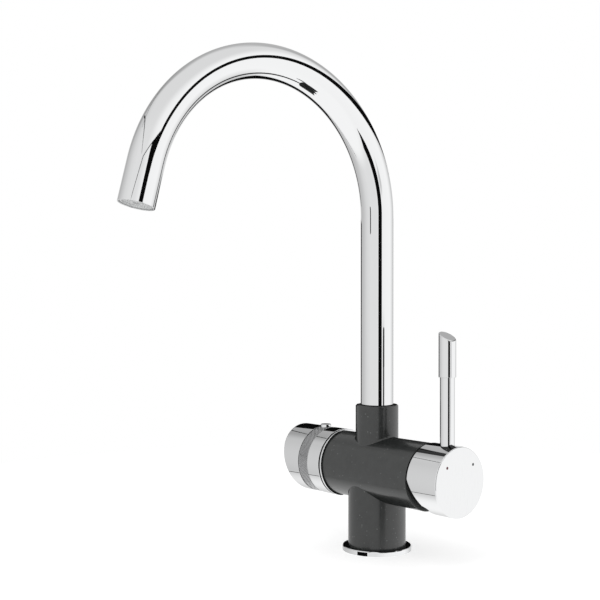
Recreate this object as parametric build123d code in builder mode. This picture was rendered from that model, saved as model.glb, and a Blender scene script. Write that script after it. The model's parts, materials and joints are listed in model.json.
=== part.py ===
from build123d import *
from math import cos, radians, sin, sqrt, tan
import os

os.makedirs("parts", exist_ok=True)

# Kitchen faucet: a swivel arc spout, a tilting mixing lever on the right end of a horizontal
# barrel, and a quarter-turn knob for filtered water on its left end. Millimetres. The origin is
# the centre of the base underside, +Z is up, the lever is at +X and the spout reaches to -Y.

# Base ring and casting
base_d = 51.0
base_h = 3.5
base_bevel = 0.5
gasket_w = 3.6
gasket_h = 1.8
gasket_margin = 1.9
gasket_land = 1.7
foot_gap = 0.3
pillar_d = 42.5
neck_d = 31.5
neck_top = 107.0
neck_bevel = 0.8
barrel_d = 48.0
barrel_z = 60.0
barrel_right = 53.5
barrel_left = 34.5
barrel_bevel = 0.4
casting_radius = 1.5

# Threaded ways in the underside: three hose ports round a stud hole
stud_core_d = 6.8
stud_depth = 14.0
hose_core_d = 9.0
hose_depth = 12.0
hose_wall = 2.0
hose_angle = 60.0
gallery_r = 2.75
mixed_way_x = 8.2
tip_gap = 0.4
cut_past = 1.0

# Spout
spout_d = 24.0
spout_wall = 1.0
bend_r = 101.0
bend_z = 245.0
bend_sweep = 165.0
tail_l = 28.0
inner_tube_d = 8.0
inner_tube_wall = 1.0

# Spout foot in the neck
socket_depth = 25.0
socket_gap = 1.0
thrust_h = 3.0
thrust_w = 1.85
guide_h = 4.6
guide_w = 1.5
guide_recess = 0.6
running = 0.06
foot_flat_gap = 0.1
foot_step_l = 1.9
seal_sides = 8
o_ring_d = 2.6
o_ring_play = 0.1
o_ring_land = 1.2
lock_screw_d = 5.0
lock_gap = 0.3
lock_groove_depth = 1.2
foot_neck_l = 7.0
foot_bore_d = 4.4
inner_tube_seat = 3.0
flow_hole_d = 3.4
flow_hole_count = 6
spigot_d = 8.0
spigot_l = 7.6
spigot_sump = 4.0
spigot_ring_d = 1.2

# Mixing cartridge, from the barrel's right end inwards
nut_recess = 1.5
nut_t = 7.5
nut_d = 39.0
nut_gap = 0.1
notch_w = 4.0
notch_depth = 2.5
cartridge_d = 35.0
cartridge_gap = 0.1
cartridge_wall = 1.9
roof_t = 4.7
collar_d = 30.0
collar_h = 4.5
collar_gap = 0.2
turret_d = 26.04
turret_flange_t = 5.3
turret_play = 0.1
turret_recess = 0.4
carrier_play = 0.3
carrier_t = 4.0
disc_d = 26.4
disc_t = 4.0
disc_film = 0.02
fixed_disc_gap = 0.2
base_plate_t = 4.0
port_r = 3.0
port_land = 0.5
inlet_r = 8.0
inlet_angle = 45.0
inlet_arc = 44.0
inlet_w = 3.4
outlet_drop = 6.5
port_seal_d = 1.5
pocket_w = 10.0
pocket_below = 12.0
pocket_lap = 0.1
pocket_depth = 2.5
pocket_corner = 2.0
locator_r = 1.4
locator_gap = 0.1
locator_l = 2.5
locator_y = 13.2
locator_drop = 6.5

# Stem and its hinge
tilt_max = 22.0
pivot_rise = 0.5
stem_w = 8.0
stem_side_gap = 0.2
stem_tail = 5.5
stem_bevel = 0.8
finger_r = 2.5
ball_r = 2.9
ball_gap = 0.1
pin_d = 4.0
pin_end_gap = 1.5
slot_play = 0.7

# Domed cover ring and handle
dome_r = 21.0
dome_reach = 3.5
dome_mouth_r = 15.0
dome_wall = 2.3
cap_d = 49.0
cap_gap = 0.8
cap_l = 27.7
cap_wall = 2.5
cap_face_t = 3.0
cap_edge = 0.5
relief_rise = 1.5
relief_margin = 3.0
boss_d = 16.0
boss_back = 2.7
stem_grip_l = 6.5
stem_fit = 0.05
rod_d = 10.2
rod_back = 12.0
rod_sink = 6.5
rod_top = 131.3
rod_boss_d = 14.0
rod_spigot_d = 6.0
rod_spigot_l = 11.0
grip_d = 12.1
grip_spigot_d = 7.0
grip_l = 28.5
grip_end_t = 16.5
grip_slant = 28.0
grip_round = 0.8
grip_bevel = 0.2
rod_fit = 0.05
set_screw_d = 5.0
set_screw_l = 6.0
set_screw_back = 6.2
hex_key = 2.5
hex_depth = 2.0
mark_d = 2.0
mark_t = 0.4
mark_fit = 0.05
mark_r = 17.2
mark_angle = 49.0

# Filtered-water valve and knob, from the barrel's left end
valve_chamber_depth = 19.0
valve_chamber_d = 20.6
valve_thread_gap = 0.1
valve_nose_d = 17.8
valve_nose_back = 0.5
valve_thread_l = 6.6
valve_ring_d = 1.4
valve_cavity_d = 14.6
valve_disc_t = 2.5
valve_disc_gap = 0.1
valve_hole_r = 2.0
valve_hole_off = 4.2
valve_inlet_r = 3.5
seat_t = 1.5
seat_bore_r = 3.6
window_w = 6.0
window_l = 3.4
hex_af = 22.0
hex_t = 5.0
valve_neck_d = 16.0
valve_neck_l = 10.5
spindle_d = 8.0
spindle_foot_t = 4.9
spindle_foot_play = 0.08
spindle_foot_gap = 0.3
spindle_notch_w = 5.0
spindle_end_l = 12.0
spindle_flat = 1.0
tongue_w = 2.0
tongue_l = 10.0
tongue_h = 0.9
tongue_play = 0.1
spindle_ring_d = 1.04
spindle_ring_play = 0.13
spindle_ring_back = 2.7
spindle_ring_pitch = 3.4
clip_t = 0.7
clip_w = 2.0
clip_play = 0.15
clip_groove_depth = 0.8
clip_mouth = 4.5
stop_w = 2.4
stop_h = 2.0
stop_play = 0.3
stop_angle = 270.0
stop_span = 150.0
full_angle = 360.0
stop_margin = 1.5
knob_turn = 90.0
trim_t = 1.4
trim_gap = 0.2
trim_edge = 0.4
knob_d = 50.5
knob_gap = 1.4
knob_l = 41.3
knob_slant = 15.0
knob_wall = 2.45
knob_end_t = 4.0
knob_round = 1.7
knob_boss_d = 16.0
band_near = 12.7
band_w = 11.0
band_depth = 0.2
peg_back = 20.2
peg_d = 8.1
peg_proud = 1.9
peg_round = 0.6
peg_shank_d = 4.0
peg_fit = 0.05

# Outlet
aerator_gap = 0.1
aerator_wall = 1.6
aerator_l = 12.2
aerator_recess = 0.8
insert_t = 3.4
insert_recess = 1.6
insert_fit = 0.1
jet_w = 1.2
jet_sides = 6
jet_inner_count = 14
jet_inner_r = 5.6
jet_outer_count = 20
jet_outer_r = 7.6
nozzle_bore_d = 5.2
nozzle_recess = 1.0
nozzle_l = 13.0
nozzle_head_l = 6.0
nozzle_head_d = 10.8
nozzle_seat = 3.7

# Radii and heights that several pieces share
seal_angle = full_angle / (2 * seal_sides)
gasket_outer = base_d / 2 - gasket_margin
gasket_inner = gasket_outer - gasket_w
foot_r = gasket_inner - gasket_land - foot_gap
hose_circle_r = foot_r - hose_wall - hose_core_d / 2
spout_r = spout_d / 2
spout_bore_r = spout_r - spout_wall
socket_r = spout_r + socket_gap
thrust_r = socket_r - running - thrust_w
foot_step_r = thrust_r - running
guide_r = spout_r + running
neck_floor = neck_top - socket_depth
spigot_bore_r = spigot_d / 2
spigot_r = spigot_bore_r - running
spigot_floor = neck_floor - spigot_l - spigot_sump
thrust_top = neck_floor + thrust_h
foot_shoulder = thrust_top + foot_flat_gap
foot_bottom = foot_shoulder - foot_step_l
o_ring_groove_w = o_ring_d + 2 * o_ring_play
groove_r = socket_r - running - o_ring_d
groove_1 = foot_shoulder + o_ring_land
groove_2 = groove_1 + o_ring_groove_w + o_ring_land
lock_groove = groove_2 + o_ring_groove_w + o_ring_land
lock_groove_w = lock_screw_d + 2 * lock_gap
lock_z = lock_groove + lock_groove_w / 2
lock_groove_r = spout_r - lock_groove_depth
tube_start = lock_groove + lock_groove_w + o_ring_land
guide_top = neck_top - guide_recess
guide_bottom = guide_top - guide_h
inner_tube_r = inner_tube_d / 2
inner_tube_start = tube_start - inner_tube_seat

# Places along the barrel's axis, from its right end to the chamber floor
nut_top = barrel_right - nut_recess
shoulder = nut_top - nut_t
roof = shoulder - roof_t
turret_bottom = roof - turret_play - turret_flange_t
carrier_top = turret_bottom - carrier_play
disc_top = carrier_top - carrier_t
disc_bottom = disc_top - disc_t
fixed_top = disc_bottom - disc_film
base_top = fixed_top - disc_t
chamber_floor = base_top - base_plate_t
collar_top = shoulder + collar_h
turret_top = collar_top - turret_recess
pivot_x = shoulder + pivot_rise
ball_x = disc_top + ball_r + ball_gap
disc_travel = (pivot_x - ball_x) * sin(radians(tilt_max))
disc_rest = -disc_travel / 2
cavity_r = cartridge_d / 2 - cartridge_wall
port_groove_r = port_r + port_land + port_seal_d
turret_r = turret_d / 2
turret_bore_r = turret_r + running
nut_r = nut_d / 2
stem_half = stem_w / 2
pin_r = pin_d / 2
inlet_y = inlet_r * sin(radians(inlet_angle))
inlet_rise = inlet_r * cos(radians(inlet_angle))
cartridge_ports = ((-inlet_y, inlet_rise), (inlet_y, inlet_rise), (0, -outlet_drop))
locators = ((-locator_y, -locator_drop), (locator_y, -locator_drop))

# Handle places
cap_r = cap_d / 2
cap_bore_r = cap_r - cap_wall
cap_rear = barrel_right + cap_gap
cap_face = cap_rear + cap_l
cap_floor = cap_face - cap_face_t
boss_x = cap_rear + boss_back
stem_end = boss_x + stem_grip_l
rod_x = cap_face - rod_back
rod_foot = barrel_z + cap_r - rod_sink
grip_top = rod_top + grip_l
grip_spigot_l = grip_l - grip_end_t
set_screw_x = cap_rear + set_screw_back
mark_y = mark_r * sin(radians(mark_angle))
mark_z = mark_r * cos(radians(mark_angle))

# Places along the axis to the left, as distances from the spout's axis
valve_floor = barrel_left - valve_chamber_depth
valve_nose = valve_floor + valve_nose_back
seat_top = valve_floor + seat_t
valve_fixed_top = seat_top + valve_disc_t
valve_turning = valve_fixed_top + disc_film
valve_turning_top = valve_turning + valve_disc_t
spindle_foot = valve_turning_top + spindle_foot_play
spindle_foot_top = spindle_foot + spindle_foot_t
valve_cavity_end = spindle_foot_top + spindle_foot_gap
valve_thread = barrel_left - valve_thread_l
hex_start = barrel_left + trim_t
hex_end = hex_start + hex_t
valve_neck_end = hex_end + valve_neck_l
valve_neck_r = valve_neck_d / 2
spindle_r = spindle_d / 2
spindle_bore_r = spindle_r + running
spindle_end = valve_neck_end + spindle_end_l
ring_groove_w = spindle_ring_d + 2 * spindle_ring_play
spindle_groove_r = spindle_bore_r - running / 2 - spindle_ring_d
spindle_groove_1 = hex_end + spindle_ring_back
spindle_grooves = (spindle_groove_1, spindle_groove_1 + spindle_ring_pitch)
clip_start = valve_neck_end + clip_play
clip_groove_r = spindle_r - clip_groove_depth
clip_r = clip_groove_r + clip_w
stop_r = valve_neck_r
stop_inner_r = stop_r - stop_w
stop_start = stop_angle - stop_span / 2
knob_stop_span = full_angle - stop_span - knob_turn - 2 * stop_margin
knob_stop_start = stop_start - stop_margin - knob_stop_span
knob_r = knob_d / 2
knob_bore_r = knob_r - knob_wall
knob_near = hex_start + knob_gap
knob_far = knob_near + knob_l
knob_boss = valve_neck_end + stop_h + stop_play
knob_tip = knob_far + knob_d * tan(radians(knob_slant))
peg_u = knob_near + peg_back
peg_r = peg_d / 2
peg_tip = barrel_z + spindle_r - spindle_flat
peg_seat = barrel_z + knob_bore_r - tip_gap
knob_crown = barrel_z + knob_r + cut_past

# The barrel's axis and planes: side planes hold (distance along the axis, distance above it)
barrel_axis = Axis((0, 0, barrel_z), (1, 0, 0))
right_side = Plane(origin=(0, 0, barrel_z), x_dir=(1, 0, 0), z_dir=(0, -1, 0))
left_side = Plane(origin=(0, 0, barrel_z), x_dir=(-1, 0, 0), z_dir=(0, 1, 0))


def across_right(x):
    """Plane square to the barrel, seen from its right end: x_dir is +Y and y_dir is up."""
    return Plane(origin=(x, 0, barrel_z), x_dir=(0, 1, 0), z_dir=(1, 0, 0))


def across_left(u):
    """Plane square to the barrel at a distance u to the left, its normal pointing outwards."""
    return Plane(origin=(-u, 0, barrel_z), x_dir=(0, -1, 0), z_dir=(-1, 0, 0))


def drill(start, end, radius):
    """A round hole from start to end, cut from the part that is being built."""
    run = Vector(*end) - Vector(*start)
    with Locations(Plane(origin=start, z_dir=run).location):
        Cylinder(radius, run.length, align=(Align.CENTER, Align.CENTER, Align.MIN), mode=Mode.SUBTRACT)


def seal(ring_r, section_d):
    """A rubber ring round the normal of its plane: flattened where groove and bore squeeze it."""
    with BuildPart(mode=Mode.PRIVATE) as ring:
        with BuildSketch(Plane.XZ):
            with Locations((ring_r, 0)):
                RegularPolygon(section_d / 2, seal_sides, major_radius=False, rotation=seal_angle)
        revolve(axis=Axis.Z)
    add(ring.part)


def dome_height(x):
    """Radius of the domed cover at a place on the barrel's axis: a sphere round the stem's hinge."""
    return sqrt(dome_r**2 - (x - pivot_x) ** 2)


# Base ring: flat escutcheon with a groove for the rubber seal
with BuildPart() as base_ring:
    with BuildSketch(Plane.XZ):
        with BuildLine():
            Polyline(
                (foot_r + foot_gap, 0),
                (gasket_inner, 0),
                (gasket_inner, gasket_h),
                (gasket_outer, gasket_h),
                (gasket_outer, 0),
                (base_d / 2, 0),
                (base_d / 2, base_h - base_bevel),
                (base_d / 2 - base_bevel, base_h),
                (foot_r + foot_gap, base_h),
                close=True,
            )
        make_face()
    revolve(axis=Axis.Z)
base_ring.part.label = "base_ring"
export_step(base_ring.part, "parts/base_ring.step")

with BuildPart() as base_gasket:
    with BuildSketch():
        Circle(gasket_outer)
        Circle(gasket_inner, mode=Mode.SUBTRACT)
    extrude(amount=gasket_h)
base_gasket.part.label = "base_gasket"
export_step(base_gasket.part, "parts/base_gasket.step")

# Casting: pillar, neck and barrel in one, with the chambers and drilled waterways
side_port_x = hose_circle_r * cos(radians(hose_angle))
side_port_y = hose_circle_r * sin(radians(hose_angle))
valve_chamber_r = valve_chamber_d / 2
with BuildPart() as body_casting:
    with BuildSketch():
        Circle(foot_r)
    extrude(amount=base_h)
    with BuildSketch(Plane.XY.offset(base_h)):
        Circle(pillar_d / 2)
    extrude(amount=barrel_z - base_h)
    with BuildSketch(Plane.XY.offset(barrel_z)):
        Circle(neck_d / 2)
    extrude(amount=neck_top - barrel_z)
    with BuildSketch(across_right(-barrel_left)):
        Circle(barrel_d / 2)
    extrude(amount=barrel_left + barrel_right)
    crossings = body_casting.edges().filter_by(
        lambda e: e.geom_type not in (GeomType.LINE, GeomType.CIRCLE)
    )
    fillet(crossings.filter_by(lambda e: e.center().Z > barrel_z), casting_radius)
    chamfer(body_casting.edges().sort_by(Axis.Z)[-1], neck_bevel)
    barrel_ends = body_casting.faces().filter_by(Axis.X)
    chamfer(barrel_ends.edges(), barrel_bevel)
    # Cartridge chamber with the nut's wider thread, and holes for the cartridge's locators
    drill((barrel_right, 0, barrel_z), (shoulder, 0, barrel_z), nut_r)
    drill((barrel_right, 0, barrel_z), (chamber_floor, 0, barrel_z), cartridge_d / 2 + cartridge_gap)
    locator_end = chamber_floor - locator_l - tip_gap
    for y, z in locators:
        drill((chamber_floor, y, barrel_z + z), (locator_end, y, barrel_z + z), locator_r + locator_gap)
    # Filter-valve chamber and its inlet
    drill((-barrel_left, 0, barrel_z), (-valve_floor, 0, barrel_z), valve_chamber_r)
    drill((-valve_floor, 0, barrel_z), (-hose_circle_r, 0, barrel_z), valve_inlet_r)
    # Socket for the spout's foot, wider at the mouth for the guide ring
    drill((0, 0, neck_top), (0, 0, neck_floor), socket_r)
    drill((0, 0, neck_top), (0, 0, guide_bottom), guide_r + guide_w)
    drill((0, 0, neck_floor), (0, 0, spigot_floor), spigot_bore_r)
    drill((0, neck_d / 2 + cut_past, lock_z), (0, spout_r, lock_z), lock_screw_d / 2)
    # Stud hole and the three hose ports
    drill((0, 0, 0), (0, 0, stud_depth), stud_core_d / 2)
    for x, y in ((side_port_x, -side_port_y), (side_port_x, side_port_y), (-hose_circle_r, 0)):
        drill((x, y, 0), (x, y, hose_depth), hose_core_d / 2)
    # Hot and cold ways to the cartridge, mixed way to the neck
    inlet_z = barrel_z + inlet_rise
    for side in (-1, 1):
        bend_point = (side_port_x, side * side_port_y, inlet_z)
        drill((side_port_x, side * side_port_y, hose_depth), bend_point, gallery_r)
        drill(bend_point, (chamber_floor, side * inlet_y, inlet_z), gallery_r)
    drill((mixed_way_x, 0, neck_floor), (mixed_way_x, 0, barrel_z - outlet_drop), gallery_r)
    drill((mixed_way_x, 0, barrel_z - outlet_drop), (chamber_floor, 0, barrel_z - outlet_drop), gallery_r)
    # Filtered way: up to the valve, then from its chamber to the centre of the neck
    drill((-hose_circle_r, 0, hose_depth), (-hose_circle_r, 0, barrel_z), gallery_r)
    drill(
        (0, 0, spigot_floor + gallery_r),
        (-valve_floor - valve_hole_off, 0, barrel_z + valve_chamber_r - cut_past),
        gallery_r,
    )
body_casting.part.label = "body_casting"
export_step(body_casting.part, "parts/body_casting.step")

# Plastic rings that the spout turns on
with BuildPart() as swivel_thrust_ring:
    with BuildSketch(Plane.XY.offset(neck_floor)):
        Circle(thrust_r + thrust_w)
        Circle(thrust_r, mode=Mode.SUBTRACT)
    extrude(amount=thrust_h)
swivel_thrust_ring.part.label = "swivel_thrust_ring"
export_step(swivel_thrust_ring.part, "parts/swivel_thrust_ring.step")

with BuildPart() as swivel_guide_ring:
    with BuildSketch(Plane.XY.offset(guide_bottom)):
        Circle(guide_r + guide_w)
        Circle(guide_r, mode=Mode.SUBTRACT)
    extrude(amount=guide_h)
swivel_guide_ring.part.label = "swivel_guide_ring"
export_step(swivel_guide_ring.part, "parts/swivel_guide_ring.step")

# Grub screw at the back of the neck, its tip in the foot's groove
lock_tip = lock_groove_r + lock_gap
lock_head = neck_d / 2 - lock_gap
with BuildPart() as spout_lock_screw:
    with BuildSketch(Plane(origin=(0, lock_tip, lock_z), z_dir=(0, 1, 0))):
        Circle(lock_screw_d / 2)
    extrude(amount=lock_head - lock_tip)
    with BuildSketch(Plane(origin=(0, lock_head, lock_z), z_dir=(0, 1, 0))):
        RegularPolygon(hex_key / 2, 6, major_radius=False)
    extrude(amount=-hex_depth, mode=Mode.SUBTRACT)
spout_lock_screw.part.label = "spout_lock_screw"
export_step(spout_lock_screw.part, "parts/spout_lock_screw.step")

# Spout tube: riser, bend and tail on one line
with BuildPart() as spout_tube:
    with BuildLine(Plane.YZ) as spout_line:
        riser = Line((0, tube_start), (0, bend_z))
        bend = JernArc(start=riser @ 1, tangent=riser % 1, radius=bend_r, arc_size=bend_sweep)
        PolarLine(bend @ 1, tail_l, direction=bend % 1)
    with BuildSketch(Plane.XY.offset(tube_start)):
        Circle(spout_r)
        Circle(spout_bore_r, mode=Mode.SUBTRACT)
    sweep()
spout_tube.part.label = "spout_tube"
export_step(spout_tube.part, "parts/spout_tube.step")

outlet_centre = spout_line.line @ 1
outlet_way = spout_line.line % 1


def outlet(depth):
    """Plane across the tail, a depth inside the outlet, its normal pointing out of the mouth."""
    return Plane(origin=outlet_centre - outlet_way * depth, x_dir=(1, 0, 0), z_dir=outlet_way)


# Inner tube that carries the filtered water by itself
nozzle_top = nozzle_recess + nozzle_l
inner_tube_depth = nozzle_top + nozzle_head_l - nozzle_seat
with BuildPart() as filter_water_tube:
    with BuildLine(Plane.YZ):
        inner_riser = Line((0, inner_tube_start), (0, bend_z))
        inner_bend = JernArc(
            start=inner_riser @ 1, tangent=inner_riser % 1, radius=bend_r, arc_size=bend_sweep
        )
        PolarLine(inner_bend @ 1, tail_l - inner_tube_depth, direction=inner_bend % 1)
    with BuildSketch(Plane.XY.offset(inner_tube_start)):
        Circle(inner_tube_r)
        Circle(inner_tube_r - inner_tube_wall, mode=Mode.SUBTRACT)
    sweep()
filter_water_tube.part.label = "filter_water_tube"
export_step(filter_water_tube.part, "parts/filter_water_tube.step")

# Foot: turned brass, with the grooves of two O-rings and of the lock screw, and a spigot below
foot_top = tube_start + foot_neck_l
spigot_bottom = neck_floor - spigot_l
spigot_groove = neck_floor - spigot_l / 2
spigot_groove_w = spigot_ring_d + 2 * o_ring_play
spigot_groove_r = spigot_bore_r - running / 2 - spigot_ring_d
with BuildPart() as spout_foot:
    with BuildSketch(Plane.XZ):
        with BuildLine():
            Polyline(
                (foot_bore_d / 2, spigot_bottom),
                (spigot_r, spigot_bottom),
                (spigot_r, spigot_groove),
                (spigot_groove_r, spigot_groove),
                (spigot_groove_r, spigot_groove + spigot_groove_w),
                (spigot_r, spigot_groove + spigot_groove_w),
                (spigot_r, foot_bottom),
                (foot_step_r, foot_bottom),
                (foot_step_r, foot_shoulder),
                (spout_r, foot_shoulder),
                (spout_r, groove_1),
                (groove_r, groove_1),
                (groove_r, groove_1 + o_ring_groove_w),
                (spout_r, groove_1 + o_ring_groove_w),
                (spout_r, groove_2),
                (groove_r, groove_2),
                (groove_r, groove_2 + o_ring_groove_w),
                (spout_r, groove_2 + o_ring_groove_w),
                (spout_r, lock_groove),
                (lock_groove_r, lock_groove),
                (lock_groove_r, lock_groove + lock_groove_w),
                (spout_r, lock_groove + lock_groove_w),
                (spout_r, tube_start),
                (spout_bore_r, tube_start),
                (spout_bore_r, foot_top),
                (inner_tube_r, foot_top),
                (inner_tube_r, inner_tube_start),
                (foot_bore_d / 2, inner_tube_start),
                close=True,
            )
        make_face()
    revolve(axis=Axis.Z)
    with BuildSketch(Plane.XY.offset(foot_bottom)):
        with PolarLocations((inner_tube_r + groove_r) / 2, flow_hole_count):
            Circle(flow_hole_d / 2)
    extrude(amount=foot_top - foot_bottom, mode=Mode.SUBTRACT)
spout_foot.part.label = "spout_foot"
export_step(spout_foot.part, "parts/spout_foot.step")

with BuildPart() as spout_foot_seals:
    with Locations((0, 0, groove_1 + o_ring_groove_w / 2), (0, 0, groove_2 + o_ring_groove_w / 2)):
        seal(groove_r + o_ring_d / 2, o_ring_d)
spout_foot_seals.part.label = "spout_foot_seals"
export_step(spout_foot_seals.part, "parts/spout_foot_seals.step")

with BuildPart() as filter_spigot_seal:
    with Locations((0, 0, spigot_groove + spigot_groove_w / 2)):
        seal(spigot_groove_r + spigot_ring_d / 2, spigot_ring_d)
filter_spigot_seal.part.label = "filter_spigot_seal"
export_step(filter_spigot_seal.part, "parts/filter_spigot_seal.step")

# Outlet: ring in the tube's mouth, perforated insert and the nozzle of the filtered water
aerator_r = spout_bore_r - aerator_gap
insert_r = aerator_r - aerator_wall - insert_fit
with BuildPart() as aerator_housing:
    with BuildSketch(outlet(aerator_recess)):
        Circle(aerator_r)
        Circle(aerator_r - aerator_wall, mode=Mode.SUBTRACT)
    extrude(amount=-aerator_l)
aerator_housing.part.label = "aerator_housing"
export_step(aerator_housing.part, "parts/aerator_housing.step")

with BuildPart() as aerator_insert:
    with BuildSketch(outlet(insert_recess)):
        Circle(insert_r)
        Circle(inner_tube_r + insert_fit, mode=Mode.SUBTRACT)
        with PolarLocations(jet_inner_r, jet_inner_count):
            RegularPolygon(jet_w / 2, jet_sides, major_radius=False, mode=Mode.SUBTRACT)
        with PolarLocations(jet_outer_r, jet_outer_count):
            RegularPolygon(jet_w / 2, jet_sides, major_radius=False, mode=Mode.SUBTRACT)
    extrude(amount=-insert_t)
aerator_insert.part.label = "aerator_insert"
export_step(aerator_insert.part, "parts/aerator_insert.step")

with BuildPart() as filter_nozzle:
    with BuildSketch(outlet(nozzle_recess)):
        Circle(inner_tube_r)
    extrude(amount=-nozzle_l)
    with BuildSketch(outlet(nozzle_top)):
        Circle(nozzle_head_d / 2)
    extrude(amount=-nozzle_head_l)
    with BuildSketch(outlet(nozzle_recess)):
        Circle(nozzle_bore_d / 2)
    extrude(amount=-nozzle_l - nozzle_head_l, mode=Mode.SUBTRACT)
    with BuildSketch(outlet(inner_tube_depth)):
        Circle(inner_tube_r)
    extrude(amount=-nozzle_seat, mode=Mode.SUBTRACT)
filter_nozzle.part.label = "filter_nozzle"
export_step(filter_nozzle.part, "parts/filter_nozzle.step")

# Cartridge housing: base plate with three ports, cavity for the discs, collar for the turret
with BuildPart() as cartridge_housing:
    with BuildSketch(right_side):
        with BuildLine():
            Polyline(
                (chamber_floor, 0),
                (chamber_floor, cartridge_d / 2),
                (shoulder, cartridge_d / 2),
                (shoulder, collar_d / 2),
                (collar_top, collar_d / 2),
                (collar_top, turret_bore_r),
                (roof, turret_bore_r),
                (roof, cavity_r),
                (base_top, cavity_r),
                (base_top, 0),
                close=True,
            )
        make_face()
    revolve(axis=barrel_axis)
    with BuildSketch(across_right(chamber_floor)):
        with Locations(*cartridge_ports):
            Circle(port_r)
    extrude(amount=base_plate_t, mode=Mode.SUBTRACT)
    with BuildSketch(across_right(chamber_floor)):
        with Locations(*cartridge_ports):
            Circle(port_groove_r)
    extrude(amount=port_seal_d, mode=Mode.SUBTRACT)
    with BuildSketch(across_right(chamber_floor)):
        with Locations(*locators):
            Circle(locator_r)
    extrude(amount=-locator_l)
cartridge_housing.part.label = "cartridge_housing"
export_step(cartridge_housing.part, "parts/cartridge_housing.step")

with BuildPart() as cartridge_base_seals:
    with Locations(across_right(chamber_floor + port_seal_d / 2)):
        with Locations(*cartridge_ports):
            seal(port_groove_r - port_seal_d / 2, port_seal_d)
cartridge_base_seals.part.label = "cartridge_base_seals"
export_step(cartridge_base_seals.part, "parts/cartridge_base_seals.step")

# Fixed ceramic disc: kidney-shaped hot and cold ports, round mixed port
with BuildPart() as cartridge_fixed_disc:
    with BuildSketch(across_right(base_top)):
        Circle(cavity_r - fixed_disc_gap)
        for middle in (90 - inlet_angle, 90 + inlet_angle):
            with BuildLine():
                kidney = CenterArc((0, 0), inlet_r, middle - inlet_arc / 2, inlet_arc)
            SlotArc(kidney, inlet_w, mode=Mode.SUBTRACT)
        with Locations((0, -outlet_drop)):
            Circle(port_r, mode=Mode.SUBTRACT)
    extrude(amount=disc_t)
cartridge_fixed_disc.part.label = "cartridge_fixed_disc"
export_step(cartridge_fixed_disc.part, "parts/cartridge_fixed_disc.step")

# Moving ceramic disc: its pocket joins the inlets to the outlet once the lever has slid it up
pocket_top = inlet_r + inlet_w / 2 + pocket_lap - disc_travel
with BuildPart() as cartridge_moving_disc:
    with BuildSketch(across_right(disc_bottom)):
        with Locations((0, disc_rest)):
            Circle(disc_d / 2)
    extrude(amount=disc_t)
    with BuildSketch(across_right(disc_bottom)):
        with Locations((0, (pocket_top - pocket_below) / 2)):
            RectangleRounded(pocket_w, pocket_top + pocket_below, pocket_corner)
    extrude(amount=pocket_depth, mode=Mode.SUBTRACT)
cartridge_moving_disc.part.label = "cartridge_moving_disc"
export_step(cartridge_moving_disc.part, "parts/cartridge_moving_disc.step")

with BuildPart() as cartridge_disc_carrier:
    with BuildSketch(across_right(disc_top)):
        with Locations((0, disc_rest)):
            Circle(disc_d / 2)
        Circle(ball_r + ball_gap, mode=Mode.SUBTRACT)
    extrude(amount=carrier_t)
cartridge_disc_carrier.part.label = "cartridge_disc_carrier"
export_step(cartridge_disc_carrier.part, "parts/cartridge_disc_carrier.step")

# Turret: turns in the collar and carries the stem's hinge pin across its slot
slot_up = disc_travel + ball_r + slot_play
slot_down = stem_half + (turret_top - pivot_x + stem_half) * sin(radians(tilt_max))
with BuildPart() as cartridge_turret:
    with BuildSketch(right_side):
        with BuildLine():
            Polyline(
                (turret_bottom, 0),
                (turret_bottom, cavity_r - fixed_disc_gap),
                (roof - turret_play, cavity_r - fixed_disc_gap),
                (roof - turret_play, turret_r),
                (turret_top, turret_r),
                (turret_top, 0),
                close=True,
            )
        make_face()
    revolve(axis=barrel_axis)
    with BuildSketch(right_side):
        with Locations(((turret_bottom + turret_top) / 2, (slot_up - slot_down) / 2)):
            Rectangle(2 * (turret_top - turret_bottom), slot_up + slot_down)
    extrude(amount=stem_half + stem_side_gap, both=True, mode=Mode.SUBTRACT)
    with BuildSketch(right_side):
        with Locations((pivot_x, 0)):
            Circle(pin_r)
    extrude(amount=turret_r, both=True, mode=Mode.SUBTRACT)
cartridge_turret.part.label = "cartridge_turret"
export_step(cartridge_turret.part, "parts/cartridge_turret.step")

with BuildPart() as cartridge_pin:
    with BuildSketch(right_side):
        with Locations((pivot_x, 0)):
            Circle(pin_r)
    extrude(amount=turret_r - pin_end_gap, both=True)
cartridge_pin.part.label = "cartridge_pin"
export_step(cartridge_pin.part, "parts/cartridge_pin.step")

# Stem: square bar hinged on the pin, with a ball finger that slides the disc
stem_start = pivot_x - stem_tail
with BuildPart() as cartridge_stem:
    with BuildSketch(across_right(stem_start)):
        Rectangle(stem_w, stem_w)
    extrude(amount=stem_end - stem_start)
    chamfer(cartridge_stem.faces().sort_by(Axis.X)[-1].edges(), stem_bevel)
    with BuildSketch(across_right(ball_x)):
        Circle(finger_r)
    extrude(amount=stem_start - ball_x)
    with Locations((ball_x, 0, barrel_z)):
        Sphere(ball_r)
    with BuildSketch(right_side):
        with Locations((pivot_x, 0)):
            Circle(pin_r + running)
    extrude(amount=stem_w, both=True, mode=Mode.SUBTRACT)
cartridge_stem.part.label = "cartridge_stem"
export_step(cartridge_stem.part, "parts/cartridge_stem.step")

# Threaded ring with four notches for its spanner
with BuildPart() as cartridge_nut:
    with BuildSketch(across_right(shoulder)):
        Circle(nut_r - nut_gap)
        Circle(collar_d / 2 + collar_gap, mode=Mode.SUBTRACT)
    extrude(amount=nut_t)
    with BuildSketch(across_right(nut_top)):
        with PolarLocations((nut_r + collar_d / 2) / 2, 4):
            Rectangle(nut_r, notch_w)
    extrude(amount=-notch_depth, mode=Mode.SUBTRACT)
cartridge_nut.part.label = "cartridge_nut"
export_step(cartridge_nut.part, "parts/cartridge_nut.step")

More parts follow.
